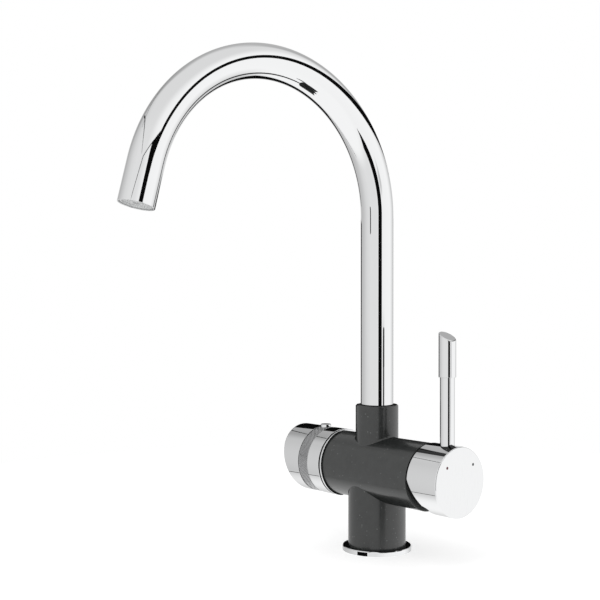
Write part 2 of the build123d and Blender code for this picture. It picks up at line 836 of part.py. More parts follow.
# Cover ring: a zone of a sphere round the hinge, so the tilting cap keeps the same gap to it
dome_top = barrel_right + dome_reach
with BuildPart() as cartridge_shroud:
    with BuildSketch(right_side):
        with BuildLine():
            outer_arc = ThreePointArc(
                (barrel_right, dome_height(barrel_right)),
                (barrel_right + dome_reach / 2, dome_height(barrel_right + dome_reach / 2)),
                (dome_top, dome_height(dome_top)),
            )
            Polyline(
                outer_arc @ 1,
                (dome_top, dome_mouth_r),
                (nut_top, dome_height(barrel_right) - dome_wall),
                (nut_top, dome_height(barrel_right)),
                outer_arc @ 0,
            )
        make_face()
    revolve(axis=barrel_axis)
cartridge_shroud.part.label = "cartridge_shroud"
export_step(cartridge_shroud.part, "parts/cartridge_shroud.step")

# Handle cap: a cup whose lower rear is cut back on a slant, so that it can tilt towards the barrel
relief_low = cap_r + cut_past
relief_run = (relief_low + relief_rise) * tan(radians(tilt_max + relief_margin))
with BuildPart() as handle_cap:
    with BuildSketch(right_side):
        with BuildLine():
            Polyline(
                (cap_rear, cap_bore_r),
                (cap_rear, cap_r),
                (cap_face, cap_r),
                (cap_face, 0),
                (boss_x, 0),
                (boss_x, boss_d / 2),
                (cap_floor, boss_d / 2),
                (cap_floor, cap_bore_r),
                close=True,
            )
        make_face()
    revolve(axis=barrel_axis)
    fillet(handle_cap.faces().sort_by(Axis.X)[-1].edges(), cap_edge)
    # Radial boss that takes the rod
    with BuildSketch(Plane(origin=(rod_x, 0, barrel_z))):
        Circle(rod_boss_d / 2)
    extrude(amount=(cap_r + cap_bore_r) / 2)
    drill((rod_x, 0, barrel_z + cap_r + cut_past), (rod_x, 0, rod_foot), rod_d / 2 + rod_fit)
    drill((rod_x, 0, rod_foot), (rod_x, 0, rod_foot - rod_spigot_l - tip_gap), rod_spigot_d / 2 + rod_fit)
    with BuildSketch(across_right(boss_x)):
        Rectangle(stem_w + 2 * stem_fit, stem_w + 2 * stem_fit)
    extrude(amount=stem_grip_l + tip_gap, mode=Mode.SUBTRACT)
    key_hole_end = cap_r + cut_past
    key_hole_r = set_screw_d / 2 + stem_fit
    drill((set_screw_x, stem_half, barrel_z), (set_screw_x, key_hole_end, barrel_z), key_hole_r)
    with BuildSketch(right_side):
        with BuildLine():
            Polyline(
                (cap_rear - cut_past, relief_rise),
                (cap_rear, relief_rise),
                (cap_rear + relief_run, -relief_low),
                (cap_rear - cut_past, -relief_low),
                close=True,
            )
        make_face()
    extrude(amount=relief_low, both=True, mode=Mode.SUBTRACT)
    with BuildSketch(across_right(cap_face)):
        with Locations((-mark_y, mark_z), (mark_y, mark_z)):
            Circle(mark_d / 2 + mark_fit)
    extrude(amount=-mark_t, mode=Mode.SUBTRACT)
handle_cap.part.label = "handle_cap"
export_step(handle_cap.part, "parts/handle_cap.step")

# Inlaid marks: hot towards the spout's side, cold away from it
with BuildPart() as hot_mark:
    with BuildSketch(across_right(cap_face)):
        with Locations((-mark_y, mark_z)):
            Circle(mark_d / 2)
    extrude(amount=-mark_t)
hot_mark.part.label = "hot_mark"
export_step(hot_mark.part, "parts/hot_mark.step")

with BuildPart() as cold_mark:
    with BuildSketch(across_right(cap_face)):
        with Locations((mark_y, mark_z)):
            Circle(mark_d / 2)
    extrude(amount=-mark_t)
cold_mark.part.label = "cold_mark"
export_step(cold_mark.part, "parts/cold_mark.step")

# Lever: a thin rod with a thicker sleeve, cut on a slant at the top
with BuildPart() as lever_rod:
    with BuildSketch(Plane(origin=(rod_x, 0, rod_foot))):
        Circle(rod_d / 2)
    extrude(amount=rod_top - rod_foot)
    with BuildSketch(Plane(origin=(rod_x, 0, rod_foot))):
        Circle(rod_spigot_d / 2)
    extrude(amount=-rod_spigot_l)
    with BuildSketch(Plane(origin=(rod_x, 0, rod_top))):
        Circle(grip_spigot_d / 2)
    extrude(amount=grip_spigot_l)
lever_rod.part.label = "lever_rod"
export_step(lever_rod.part, "parts/lever_rod.step")

slant_normal = (sin(radians(grip_slant)), 0, cos(radians(grip_slant)))
with BuildPart() as lever_grip:
    with BuildSketch(Plane(origin=(rod_x, 0, rod_top))):
        Circle(grip_d / 2)
    extrude(amount=grip_top - rod_top + grip_d)
    split(bisect_by=Plane(origin=(rod_x, 0, grip_top), z_dir=slant_normal), keep=Keep.BOTTOM)
    fillet(lever_grip.edges().filter_by(GeomType.ELLIPSE), grip_round)
    chamfer(lever_grip.edges().sort_by(Axis.Z)[0], grip_bevel)
    drill((rod_x, 0, rod_top), (rod_x, 0, rod_top + grip_spigot_l + tip_gap), grip_spigot_d / 2 + rod_fit)
lever_grip.part.label = "lever_grip"
export_step(lever_grip.part, "parts/lever_grip.step")

with BuildPart() as handle_set_screw:
    with BuildSketch(Plane(origin=(set_screw_x, stem_half, barrel_z), z_dir=(0, 1, 0))):
        Circle(set_screw_d / 2)
    extrude(amount=set_screw_l)
    with BuildSketch(Plane(origin=(set_screw_x, stem_half + set_screw_l, barrel_z), z_dir=(0, 1, 0))):
        RegularPolygon(hex_key / 2, 6, major_radius=False)
    extrude(amount=-hex_depth, mode=Mode.SUBTRACT)
handle_set_screw.part.label = "handle_set_screw"
export_step(handle_set_screw.part, "parts/handle_set_screw.step")

# Filter valve body: nose with the discs, thread, hexagon, neck and the stop of the quarter turn
with BuildPart() as filter_valve_body:
    with BuildSketch(left_side):
        with BuildLine():
            Polyline(
                (valve_nose, valve_cavity_d / 2),
                (valve_nose, valve_nose_d / 2),
                (valve_thread, valve_nose_d / 2),
                (valve_thread, valve_chamber_r - valve_thread_gap),
                (hex_end, valve_chamber_r - valve_thread_gap),
                (hex_end, valve_neck_r),
                (valve_neck_end, valve_neck_r),
                (valve_neck_end, spindle_bore_r),
                (valve_cavity_end, spindle_bore_r),
                (valve_cavity_end, valve_cavity_d / 2),
                close=True,
            )
        make_face()
    revolve(axis=barrel_axis)
    with BuildSketch(across_left(hex_start)):
        RegularPolygon(hex_af / 2, 6, major_radius=False)
        Circle(valve_neck_r, mode=Mode.SUBTRACT)
    extrude(amount=hex_t)
    with BuildSketch(across_left(valve_neck_end)):
        with BuildLine():
            stop_outer = CenterArc((0, 0), stop_r, stop_start, stop_span)
            stop_inner = CenterArc((0, 0), stop_inner_r, stop_start, stop_span)
            Line(stop_outer @ 0, stop_inner @ 0)
            Line(stop_outer @ 1, stop_inner @ 1)
        make_face()
    extrude(amount=stop_h)
    window_u = (valve_turning_top + spindle_foot_top) / 2
    with BuildSketch(Plane(origin=(-window_u, 0, barrel_z))):
        Rectangle(window_l, window_w)
    extrude(amount=valve_nose_d, both=True, mode=Mode.SUBTRACT)
    with BuildSketch(left_side):
        with Locations((window_u, 0)):
            Rectangle(window_l, window_w)
    extrude(amount=valve_nose_d, both=True, mode=Mode.SUBTRACT)
filter_valve_body.part.label = "filter_valve_body"
export_step(filter_valve_body.part, "parts/filter_valve_body.step")

with BuildPart() as filter_valve_seal:
    with Locations(across_left(valve_thread - valve_ring_d / 2)):
        seal(valve_chamber_r - valve_ring_d / 2, valve_ring_d)
filter_valve_seal.part.label = "filter_valve_seal"
export_step(filter_valve_seal.part, "parts/filter_valve_seal.step")

# Rubber seat and the two ceramic discs: the holes line up after a quarter turn
valve_disc_r = valve_cavity_d / 2 - valve_disc_gap
with BuildPart() as filter_valve_seat:
    with BuildSketch(across_left(valve_floor)):
        Circle(valve_disc_r)
        Circle(seat_bore_r, mode=Mode.SUBTRACT)
    extrude(amount=seat_t)
filter_valve_seat.part.label = "filter_valve_seat"
export_step(filter_valve_seat.part, "parts/filter_valve_seat.step")

with BuildPart() as filter_valve_fixed_disc:
    with BuildSketch(across_left(seat_top)):
        Circle(valve_disc_r)
        with Locations((-valve_hole_off, 0), (valve_hole_off, 0)):
            Circle(valve_hole_r, mode=Mode.SUBTRACT)
    extrude(amount=valve_disc_t)
filter_valve_fixed_disc.part.label = "filter_valve_fixed_disc"
export_step(filter_valve_fixed_disc.part, "parts/filter_valve_fixed_disc.step")

with BuildPart() as filter_valve_turning_disc:
    with BuildSketch(across_left(valve_turning)):
        Circle(valve_disc_r - valve_disc_gap)
        with Locations((0, -valve_hole_off), (0, valve_hole_off)):
            Circle(valve_hole_r, mode=Mode.SUBTRACT)
    extrude(amount=valve_disc_t)
    with BuildSketch(across_left(valve_turning_top)):
        Rectangle(tongue_l + 2 * tongue_play, tongue_w + 2 * tongue_play)
    extrude(amount=-tongue_h - tongue_play, mode=Mode.SUBTRACT)
filter_valve_turning_disc.part.label = "filter_valve_turning_disc"
export_step(filter_valve_turning_disc.part, "parts/filter_valve_turning_disc.step")

# Spindle: notched foot with a tongue for the disc, ring grooves, clip groove and a flat end
foot_notch = valve_hole_off - valve_hole_r
with BuildPart() as filter_valve_spindle:
    with BuildSketch(across_left(spindle_foot)):
        Circle(valve_disc_r - valve_disc_gap)
        with Locations((0, valve_disc_r), (0, -valve_disc_r)):
            Rectangle(spindle_notch_w, 2 * (valve_disc_r - foot_notch), mode=Mode.SUBTRACT)
    extrude(amount=spindle_foot_t)
    with BuildSketch(across_left(spindle_foot)):
        Rectangle(tongue_l, tongue_w)
    extrude(amount=-tongue_h)
    with BuildSketch(across_left(spindle_foot_top)):
        Circle(spindle_r)
    extrude(amount=spindle_end - spindle_foot_top)
    for groove in spindle_grooves:
        with BuildSketch(across_left(groove)):
            Circle(spindle_r + cut_past)
            Circle(spindle_groove_r, mode=Mode.SUBTRACT)
        extrude(amount=ring_groove_w, mode=Mode.SUBTRACT)
    with BuildSketch(across_left(clip_start)):
        Circle(spindle_r + cut_past)
        Circle(clip_groove_r, mode=Mode.SUBTRACT)
    extrude(amount=clip_t, mode=Mode.SUBTRACT)
    with BuildSketch(across_left(spindle_end)):
        with Locations((0, spindle_r)):
            Rectangle(spindle_d, 2 * spindle_flat)
    extrude(amount=knob_boss - spindle_end, mode=Mode.SUBTRACT)
filter_valve_spindle.part.label = "filter_valve_spindle"
export_step(filter_valve_spindle.part, "parts/filter_valve_spindle.step")

with BuildPart() as filter_spindle_seals:
    for groove in spindle_grooves:
        with Locations(across_left(groove + ring_groove_w / 2)):
            seal(spindle_groove_r + spindle_ring_d / 2, spindle_ring_d)
filter_spindle_seals.part.label = "filter_spindle_seals"
export_step(filter_spindle_seals.part, "parts/filter_spindle_seals.step")

# Open clip that keeps the spindle from being pushed in
with BuildPart() as filter_spindle_clip:
    with BuildSketch(across_left(clip_start)):
        Circle(clip_r)
        Circle(clip_groove_r, mode=Mode.SUBTRACT)
        with Locations((0, -clip_r)):
            Rectangle(clip_mouth, 2 * clip_r, mode=Mode.SUBTRACT)
    extrude(amount=clip_t)
filter_spindle_clip.part.label = "filter_spindle_clip"
export_step(filter_spindle_clip.part, "parts/filter_spindle_clip.step")

# Bright ring clamped between the barrel's end and the valve's hexagon
with BuildPart() as knob_trim_ring:
    with BuildSketch(across_left(barrel_left)):
        Circle(knob_r)
        Circle(valve_chamber_r + trim_gap, mode=Mode.SUBTRACT)
    extrude(amount=trim_t)
    rims = knob_trim_ring.edges().filter_by(GeomType.CIRCLE).sort_by(SortBy.RADIUS)[-2:]
    fillet(rims, trim_edge)
knob_trim_ring.part.label = "knob_trim_ring"
export_step(knob_trim_ring.part, "parts/knob_trim_ring.step")

# Knob: a cup with the knurled band, a boss for the spindle and the lug that meets the stop
knob_slant_normal = (-cos(radians(knob_slant)), 0, -sin(radians(knob_slant)))
with BuildPart() as knob_hollow:
    with BuildSketch(left_side):
        with BuildLine():
            Polyline(
                (knob_near, spindle_bore_r),
                (knob_boss, spindle_bore_r),
                (knob_boss, knob_boss_d / 2),
                (knob_tip, knob_boss_d / 2),
                (knob_tip, knob_bore_r),
                (knob_near, knob_bore_r),
                close=True,
            )
        make_face()
    revolve(axis=barrel_axis)
    split(
        bisect_by=Plane(origin=(knob_end_t - knob_far, 0, barrel_z), z_dir=knob_slant_normal),
        keep=Keep.BOTTOM,
    )
with BuildPart() as filter_knob:
    with BuildSketch(left_side):
        with BuildLine():
            Polyline(
                (knob_near, 0),
                (knob_near, knob_r),
                (knob_near + band_near, knob_r),
                (knob_near + band_near, knob_r - band_depth),
                (knob_near + band_near + band_w, knob_r - band_depth),
                (knob_near + band_near + band_w, knob_r),
                (knob_tip, knob_r),
                (knob_tip, 0),
                close=True,
            )
        make_face()
    revolve(axis=barrel_axis)
    split(bisect_by=Plane(origin=(-knob_far, 0, barrel_z), z_dir=knob_slant_normal), keep=Keep.BOTTOM)
    fillet(filter_knob.edges().filter_by(GeomType.ELLIPSE), knob_round)
    with BuildSketch(across_left(knob_near)):
        Circle(spindle_bore_r)
    extrude(amount=spindle_end + tip_gap - knob_near, mode=Mode.SUBTRACT)
    add(knob_hollow.part, mode=Mode.SUBTRACT)
    with BuildSketch(across_left(knob_boss)):
        with BuildLine():
            lug_outer = CenterArc((0, 0), stop_r, knob_stop_start, knob_stop_span)
            lug_inner = CenterArc((0, 0), stop_inner_r, knob_stop_start, knob_stop_span)
            Line(lug_outer @ 0, lug_inner @ 0)
            Line(lug_outer @ 1, lug_inner @ 1)
        make_face()
    extrude(amount=-stop_h)
    drill((-peg_u, 0, peg_tip), (-peg_u, 0, knob_crown), peg_shank_d / 2 + peg_fit)
    drill((-peg_u, 0, peg_seat), (-peg_u, 0, knob_crown), peg_r + peg_fit)
filter_knob.part.label = "filter_knob"
export_step(filter_knob.part, "parts/filter_knob.step")

# Peg: round head that stands proud of the knob, on the screw that clamps the spindle
with BuildPart() as knob_peg:
    with BuildSketch(Plane(origin=(-peg_u, 0, peg_seat))):
        Circle(peg_r)
    extrude(amount=barrel_z + knob_r + peg_proud - peg_seat)
    fillet(knob_peg.faces().sort_by(Axis.Z)[-1].edges(), peg_round)
    with BuildSketch(Plane(origin=(-peg_u, 0, peg_tip))):
        Circle(peg_shank_d / 2)
    extrude(amount=peg_seat - peg_tip)
knob_peg.part.label = "knob_peg"
export_step(knob_peg.part, "parts/knob_peg.step")
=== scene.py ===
# %% [markdown]
# # A three-way kitchen faucet, dressed for its picture
# The shapes come from a CAD model that is already packed, with its joints. This notebook gives
# each piece its finish, and rebuilds the bright pieces as finer meshes, because a mirror shows
# every facet of a coarse one. Lengths are metres, +Z is up, the lever is at +X and the spout
# reaches towards -Y.

# %% Load the CAD model as a fixed frame
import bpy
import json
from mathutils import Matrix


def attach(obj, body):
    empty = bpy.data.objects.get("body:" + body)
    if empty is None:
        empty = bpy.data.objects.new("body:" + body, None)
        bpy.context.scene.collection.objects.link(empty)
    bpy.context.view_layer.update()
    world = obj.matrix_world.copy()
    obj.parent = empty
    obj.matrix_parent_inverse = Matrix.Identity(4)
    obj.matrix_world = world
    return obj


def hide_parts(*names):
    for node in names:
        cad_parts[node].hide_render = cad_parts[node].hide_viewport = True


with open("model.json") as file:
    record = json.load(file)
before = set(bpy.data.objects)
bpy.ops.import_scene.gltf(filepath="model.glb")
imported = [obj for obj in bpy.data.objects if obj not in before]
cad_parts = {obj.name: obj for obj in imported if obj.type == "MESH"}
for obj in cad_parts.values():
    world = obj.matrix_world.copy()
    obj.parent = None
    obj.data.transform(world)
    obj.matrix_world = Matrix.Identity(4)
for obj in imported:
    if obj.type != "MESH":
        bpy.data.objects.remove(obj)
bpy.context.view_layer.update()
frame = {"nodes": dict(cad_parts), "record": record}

# %% [markdown]
# ## Modules and unit
# The tap's own sizes are written in millimetres, and `MM` turns them into metres. The Standard
# view transform shows a brightness of 1 as plain white, which the backdrop of the picture needs.

# %% Modules and the unit
import json
from math import acos, cos, pi, radians, sin, tan
import bmesh
import bpy
import numpy as np
from mathutils import Vector

MM = 0.001
scene = bpy.context.scene
scene.view_settings.view_transform = "Standard"

# %% [markdown]
# ## The camera
# The photograph was taken with a long lens from a little above the spout's foot, from the side
# where the spout and the lever both show. The place and the direction below were worked out
# from the outlines of the real tap. `to_track_quat` turns a viewing direction into a rotation:
# a camera looks along its own -Z, with +Y up.

# %% Camera
LENS = 66.0166
SENSOR = 36.0
CAMERA_PLACE = (0.587957, -0.563034, 0.192183)
VIEW_WAY = Vector((-0.76878115, 0.63943413, -0.00997685))
camera_data = bpy.data.cameras.new("camera")
camera_data.lens = LENS
camera_data.sensor_width = SENSOR
camera_data.clip_end = 50.0
camera = bpy.data.objects.new("camera", camera_data)
camera.location = CAMERA_PLACE
camera.rotation_euler = VIEW_WAY.to_track_quat("-Z", "Y").to_euler()
scene.collection.objects.link(camera)
scene.camera = camera
print("camera at", [round(v, 3) for v in camera.location])

# %% [markdown]
# ## A helper for node trees
# Materials, the world and Geometry Nodes are all graphs of nodes. Writing each node and each link
# by hand takes many lines, so `put` adds a node, sets its options, and fills its inputs either
# with plain values or with another node's output.


# %% Node helper
def put(tree, kind, inputs=None, **options):
    """Adds a node; inputs maps a socket's name or number to a value or to another output."""
    made = tree.nodes.new(kind)
    for option, value in options.items():
        setattr(made, option, value)
    for key, value in (inputs or {}).items():
        if isinstance(value, bpy.types.NodeSocket):
            tree.links.new(value, made.inputs[key])
        else:
            made.inputs[key].default_value = value
    return made


def maths(tree, operation, first, second=0.0):
    """One arithmetic step; returns its output."""
    return put(tree, "ShaderNodeMath", {0: first, 1: second}, operation=operation).outputs[0]


# %% [markdown]
# ## The studio
# Polished chrome has hardly any colour of its own: what one sees on it is the studio. So the
# studio is built in two parts. What is far away and soft goes into the world shader here, and
# what is near and has crisp edges becomes black sheets of mesh further down. Rays of the camera
# see plain white, and even daylight falls on every surface. Only mirror rays see the room.
#
# A group holds one soft, dim part of the room: a window in azimuth and elevation, in degrees.

# %% One dim part of the room, as a node group
dim_window = bpy.data.node_groups.new("dim window", "ShaderNodeTree")
for label in ("Azimuth", "Elevation", "From", "To", "Low", "High", "Softness"):
    dim_window.interface.new_socket(label, in_out="INPUT", socket_type="NodeSocketFloat")
dim_window.interface.new_socket("Mask", in_out="OUTPUT", socket_type="NodeSocketFloat")
window_in = dim_window.nodes.new("NodeGroupInput").outputs
window_out = dim_window.nodes.new("NodeGroupOutput").inputs


def soft_step(tree, value, edge, softness):
    """0 below the edge, 1 above it, with a smooth ramp as wide as twice the softness."""
    low = maths(tree, "SUBTRACT", edge, softness)
    high = maths(tree, "ADD", edge, softness)
    ramp = put(
        tree,
        "ShaderNodeMapRange",
        {"Value": value, "From Min": low, "From Max": high},
        interpolation_type="SMOOTHSTEP",
    )
    return ramp.outputs[0]


def soft_window(tree, value, low, high, softness):
    """1 between two edges."""
    rise = soft_step(tree, value, low, softness)
    fall = soft_step(tree, value, high, softness)
    return maths(tree, "SUBTRACT", rise, fall)


across = soft_window(
    dim_window, window_in["Azimuth"], window_in["From"], window_in["To"], window_in["Softness"]
)
upright = soft_window(
    dim_window, window_in["Elevation"], window_in["Low"], window_in["High"], window_in["Softness"]
)
dim_window.links.new(maths(dim_window, "MULTIPLY", across, upright), window_out["Mask"])
print("window nodes", len(dim_window.nodes))

# %% [markdown]
# The world shader asks in which direction a ray leaves. Two angles are easier to think in than
# three coordinates, so the direction is turned into azimuth and elevation first.

# %% The world and its directions
DEGREES = 180.0 / pi
studio = bpy.data.worlds.new("studio")
studio.use_nodes = True
studio.cycles.sampling_method = "NONE"
scene.world = studio
room = studio.node_tree
room.nodes.clear()
direction = put(room, "ShaderNodeTexCoord").outputs["Generated"]
parts = put(room, "ShaderNodeSeparateXYZ", {0: direction})
turn_round = maths(room, "ARCTAN2", parts.outputs["Y"], parts.outputs["X"])
azimuth = maths(room, "MULTIPLY", turn_round, DEGREES)
elevation = maths(room, "MULTIPLY", maths(room, "ARCSINE", parts.outputs["Z"]), DEGREES)

# %% [markdown]
# The room's own brightness changes round the compass: brightest to the right of the camera,
# dimmer towards the left and behind the tap. A colour ramp over the azimuth says so. High up the
# room is an even light grey, and far down it is white again, like the table.

# %% Brightness round the compass
# azimuth in degrees, brightness
ROOM_STOPS = (
    (-180, 0.52), (-150, 0.60), (-120, 0.74), (-90, 0.80), (-45, 0.80), (-12, 0.96), (60, 1.0),
    (78, 0.86), (97, 0.62), (110, 0.66), (130, 0.80), (155, 0.66), (180, 0.52),
)
compass = put(
    room, "ShaderNodeMapRange", {"Value": azimuth, "From Min": -180.0, "From Max": 180.0}
)
ramp = put(room, "ShaderNodeValToRGB", {0: compass.outputs[0]})
stops = ramp.color_ramp.elements
stops[0].position, stops[1].position = 0.0, 1.0
while len(stops) < len(ROOM_STOPS):
    stops.new(0.5)
for stop, (degrees, level) in zip(stops, ROOM_STOPS):
    stop.position = (degrees + 180) / 360
    stop.color = (level, level, level, 1.0)
walls = put(room, "ShaderNodeSeparateColor", {0: ramp.outputs["Color"]}).outputs[0]
print("stops round the compass", len(stops))

# %% Roof and floor of the room
# where each takes over and how softly, in degrees up or down, and its brightness
ROOF_FROM, ROOF_SOFTNESS, ROOF_LEVEL = 45.0, 14.0, 0.76
FLOOR_FROM, FLOOR_SOFTNESS, FLOOR_LEVEL = 38.0, 10.0, 1.0


def blend(tree, share, first, second):
    """Mixes two numbers."""
    mix = put(tree, "ShaderNodeMix", {"Factor": share, "A": first, "B": second}, data_type="FLOAT")
    return mix.outputs["Result"]


above = soft_step(room, elevation, ROOF_FROM, ROOF_SOFTNESS)
below = soft_step(room, maths(room, "MULTIPLY", elevation, -1.0), FLOOR_FROM, FLOOR_SOFTNESS)
brightness = blend(room, below, blend(room, above, walls, ROOF_LEVEL), FLOOR_LEVEL)

# %% [markdown]
# Two parts of the room are dimmer than the compass says: a narrow post, low down on the lever's
# side, and the upper part of the wall behind the tap. Each is one use of the window group.

# %% Dim parts of the room
# from, to (azimuth), low, high (elevation) and softness in degrees, then the darkness
DIM_PARTS = {
    "narrow post": (-5.0, 9.0, -8.0, -2.0, 1.5, 0.35),
    "dim wall behind": (95.0, 192.0, 18.0, 62.0, 12.0, 0.36),
}
WINDOW_LABELS = ("From", "To", "Low", "High", "Softness")
# Azimuths run from -90 to 270 here, so that no dim part lies across the seam.
past_seam = maths(room, "FLOORED_MODULO", maths(room, "ADD", azimuth, 90.0), 360.0)
azimuth = maths(room, "SUBTRACT", past_seam, 90.0)
for *window_numbers, darkness in DIM_PARTS.values():
    window = put(room, "ShaderNodeGroup", node_tree=dim_window)
    room.links.new(azimuth, window.inputs["Azimuth"])
    room.links.new(elevation, window.inputs["Elevation"])
    for label, value in zip(WINDOW_LABELS, window_numbers):
        window.inputs[label].default_value = value
    shade = maths(room, "MULTIPLY", window.outputs["Mask"], darkness)
    brightness = maths(room, "MULTIPLY", brightness, maths(room, "SUBTRACT", 1.0, shade))
print("dim parts", list(DIM_PARTS))

# %% [markdown]
# The Light Path node tells which kind of ray is asking, and it also counts mirror bounces. What
# shows only in a mirror of a mirror is taken nearly to black, which keeps the top of the base
# ring and the foot of the lever as dark as they are in life.

# %% What each kind of ray sees
WHITE = (1.0, 1.0, 1.0, 1.0)
DAYLIGHT = 0.92
SECOND_MIRROR = 0.05


def backdrop(colour, level):
    """One answer of the world to a ray."""
    return put(room, "ShaderNodeBackground", {"Color": colour, "Strength": level}).outputs[0]


def either(share, first, second):
    """The first answer where the share is 0, the second where it is 1."""
    return put(room, "ShaderNodeMixShader", {0: share, 1: first, 2: second}).outputs[0]


rays = put(room, "ShaderNodeLightPath")
again = maths(room, "GREATER_THAN", rays.outputs["Glossy Depth"], 1.5)
mirror_room = backdrop(brightness, blend(room, again, 1.0, SECOND_MIRROR))
soft_room = backdrop(WHITE, DAYLIGHT)
white_room = backdrop(WHITE, 1.0)
lit = either(rays.outputs["Is Glossy Ray"], soft_room, mirror_room)
plain = maths(room, "MAXIMUM", rays.outputs["Is Camera Ray"], rays.outputs["Is Transmission Ray"])
put(room, "ShaderNodeOutputWorld", {"Surface": either(plain, lit, white_room)})
print("world nodes", len(room.nodes))

# %% [markdown]
# ## Floor, black sheets and a lamp
# The floor is a plain pale disc. It keeps the tap's own soft shadow. A small lift that only the
# camera sees takes its open part to the same white as the backdrop, so that no horizon shows.
# Mirror rays pass it by, because the room has a white floor of its own.

# %% Floor
FLOOR_R = 0.55
FLOOR_SIDES = 96
FLOOR_PAINT = 0.62
FLOOR_LIFT = 0.50
floor_mesh = bpy.data.meshes.new("floor")
floor_rim = [
    (FLOOR_R * cos(2 * pi * i / FLOOR_SIDES), FLOOR_R * sin(2 * pi * i / FLOOR_SIDES), 0.0)
    for i in range(FLOOR_SIDES)
]
floor_mesh.from_pydata(floor_rim, [], [tuple(range(FLOOR_SIDES))])
floor = bpy.data.objects.new("floor", floor_mesh)
scene.collection.objects.link(floor)
floor.visible_glossy = False

pale = bpy.data.materials.new("pale floor")
pale.use_nodes = True
pale_tree = pale.node_tree
pale_tree.nodes.clear()
pale_seen = put(pale_tree, "ShaderNodeLightPath").outputs["Is Camera Ray"]
pale_colour = (FLOOR_PAINT, FLOOR_PAINT, FLOOR_PAINT, 1.0)
pale_paint = put(pale_tree, "ShaderNodeBsdfDiffuse", {"Color": pale_colour}).outputs[0]
pale_glow = maths(pale_tree, "MULTIPLY", pale_seen, FLOOR_LIFT)
pale_lift = put(pale_tree, "ShaderNodeEmission", {"Color": WHITE, "Strength": pale_glow})
pale_sum = put(pale_tree, "ShaderNodeAddShader", {0: pale_paint, 1: pale_lift.outputs[0]})
put(pale_tree, "ShaderNodeOutputMaterial", {"Surface": pale_sum.outputs[0]})
floor_mesh.materials.append(pale)

# %% [markdown]
# The sheets stand round the tap at real distances. A sheet in the world shader would lie in the
# same direction for every piece, but these are so near that the riser, the arc and the knob see
# them in different places, and that is what makes their dark stripes start and end where they do.
# The tall one draws the stripe down the spout, the long one the line round the arc, the one
# behind on the left darkens the left edges, the small one is the dark block in the base ring,
# and the thin ones are the edges of white screens. Only mirror rays meet them.

# %% Black sheets
black = bpy.data.materials.new("black card")
black.use_nodes = True
black_shader = black.node_tree.nodes["Principled BSDF"]
black_shader.inputs["Base Color"].default_value = (0.004, 0.004, 0.004, 1.0)
black_shader.inputs["Specular IOR Level"].default_value = 0.0
black_shader.inputs["Roughness"].default_value = 1.0


def studio_card(name, azimuth_angle, distance, left, right, low, high):
    """An upright black sheet that faces the tap's axis, seen by mirror rays only."""
    turn = radians(azimuth_angle)
    away = Vector((cos(turn), sin(turn), 0.0)) * distance
    along = Vector((-sin(turn), cos(turn), 0.0))
    up = Vector((0.0, 0.0, 1.0))
    outline = ((left, low), (right, low), (right, high), (left, high))
    corners = [tuple(away + along * s + up * z) for s, z in outline]
    mesh = bpy.data.meshes.new(name)
    mesh.from_pydata(corners, [], [(0, 1, 2, 3)])
    mesh.materials.append(black)
    card = bpy.data.objects.new(name, mesh)
    scene.collection.objects.link(card)
    card.visible_camera = False
    card.visible_diffuse = False
    card.visible_shadow = False
    card.visible_transmission = False


# azimuth in degrees, then distance, left, right, low and high in metres
CARDS = {
    "card_behind_left": (134.0, 0.295, -0.060, 0.280, 0.040, 0.263),
    "tall_flag": (-34.1, 0.629, -0.008, 0.276, -0.126, 0.538),
    "long_strip": (56.6, 0.543, -2.0, 2.0, 0.498, 0.682),
    "foot_patch": (-87.0, 0.032, 0.0011, 0.0138, -0.005, 0.0022),
    "right_screen_top": (-34.1, 0.629, -0.481, 0.018, 0.528, 0.540),
    "left_screen_top": (-120.0, 0.490, -0.250, 0.593, 0.594, 0.606),
    "back_screen_top": (-150.0, 1.389, -1.500, 0.600, 1.417, 1.447),
    "back_screen_foot": (-150.0, 1.389, -1.500, 0.600, -0.828, -0.798),
}
for label, card_numbers in CARDS.items():
    studio_card(label, *card_numbers)

# %% [markdown]
# One wide soft lamp hangs high in front. It models the granite coat and gives the shadow its
# direction, and mirror rays don't see it.

# %% The lamp
LAMP_PLACE = Vector((0.3, -0.9, 1.5))
LAMP_AIM = Vector((0.0, 0.0, 0.1))
LAMP_WIDTH = 0.9
LAMP_WATTS = 5.0
lamp_data = bpy.data.lights.new("soft box", "AREA")
lamp_data.shape = "DISK"
lamp_data.size = LAMP_WIDTH
lamp_data.energy = LAMP_WATTS
lamp = bpy.data.objects.new("soft box", lamp_data)
lamp.location = LAMP_PLACE
lamp.rotation_euler = (LAMP_AIM - LAMP_PLACE).to_track_quat("-Z", "Y").to_euler()
lamp.visible_glossy = False
scene.collection.objects.link(lamp)

# %% [markdown]
# ## Shared effects as node groups
# A real surface is never one flat colour. Three groups are used by several finishes, each with
# its own sizes: `fine marks` for the faint smears and hairlines of handling, `turned lines` for
# the grooves that a lathe tool leaves, and `moulded skin` for the soft grain of a plastic
# moulding. They put out masks and heights only. The shader stays in each material.


# %% Group shell
def new_group(name, inputs, outputs):
    """A shader node group with named inputs (label, default) and float outputs."""
    tree = bpy.data.node_groups.new(name, "ShaderNodeTree")
    tree.interface.new_socket("Vector", in_out="INPUT", socket_type="NodeSocketVector")
    for label, default in inputs:
        socket = tree.interface.new_socket(label, in_out="INPUT", socket_type="NodeSocketFloat")
        socket.default_value = default
    for label in outputs:
        tree.interface.new_socket(label, in_out="OUTPUT", socket_type="NodeSocketFloat")
    return tree, tree.nodes.new("NodeGroupInput").outputs, tree.nodes.new("NodeGroupOutput").inputs


def noise(tree, vector, scale, detail=2.0, roughness=0.5):
    """Noise between 0 and 1."""
    sizes = {"Vector": vector, "Scale": scale, "Detail": detail, "Roughness": roughness}
    return put(tree, "ShaderNodeTexNoise", sizes).outputs[0]


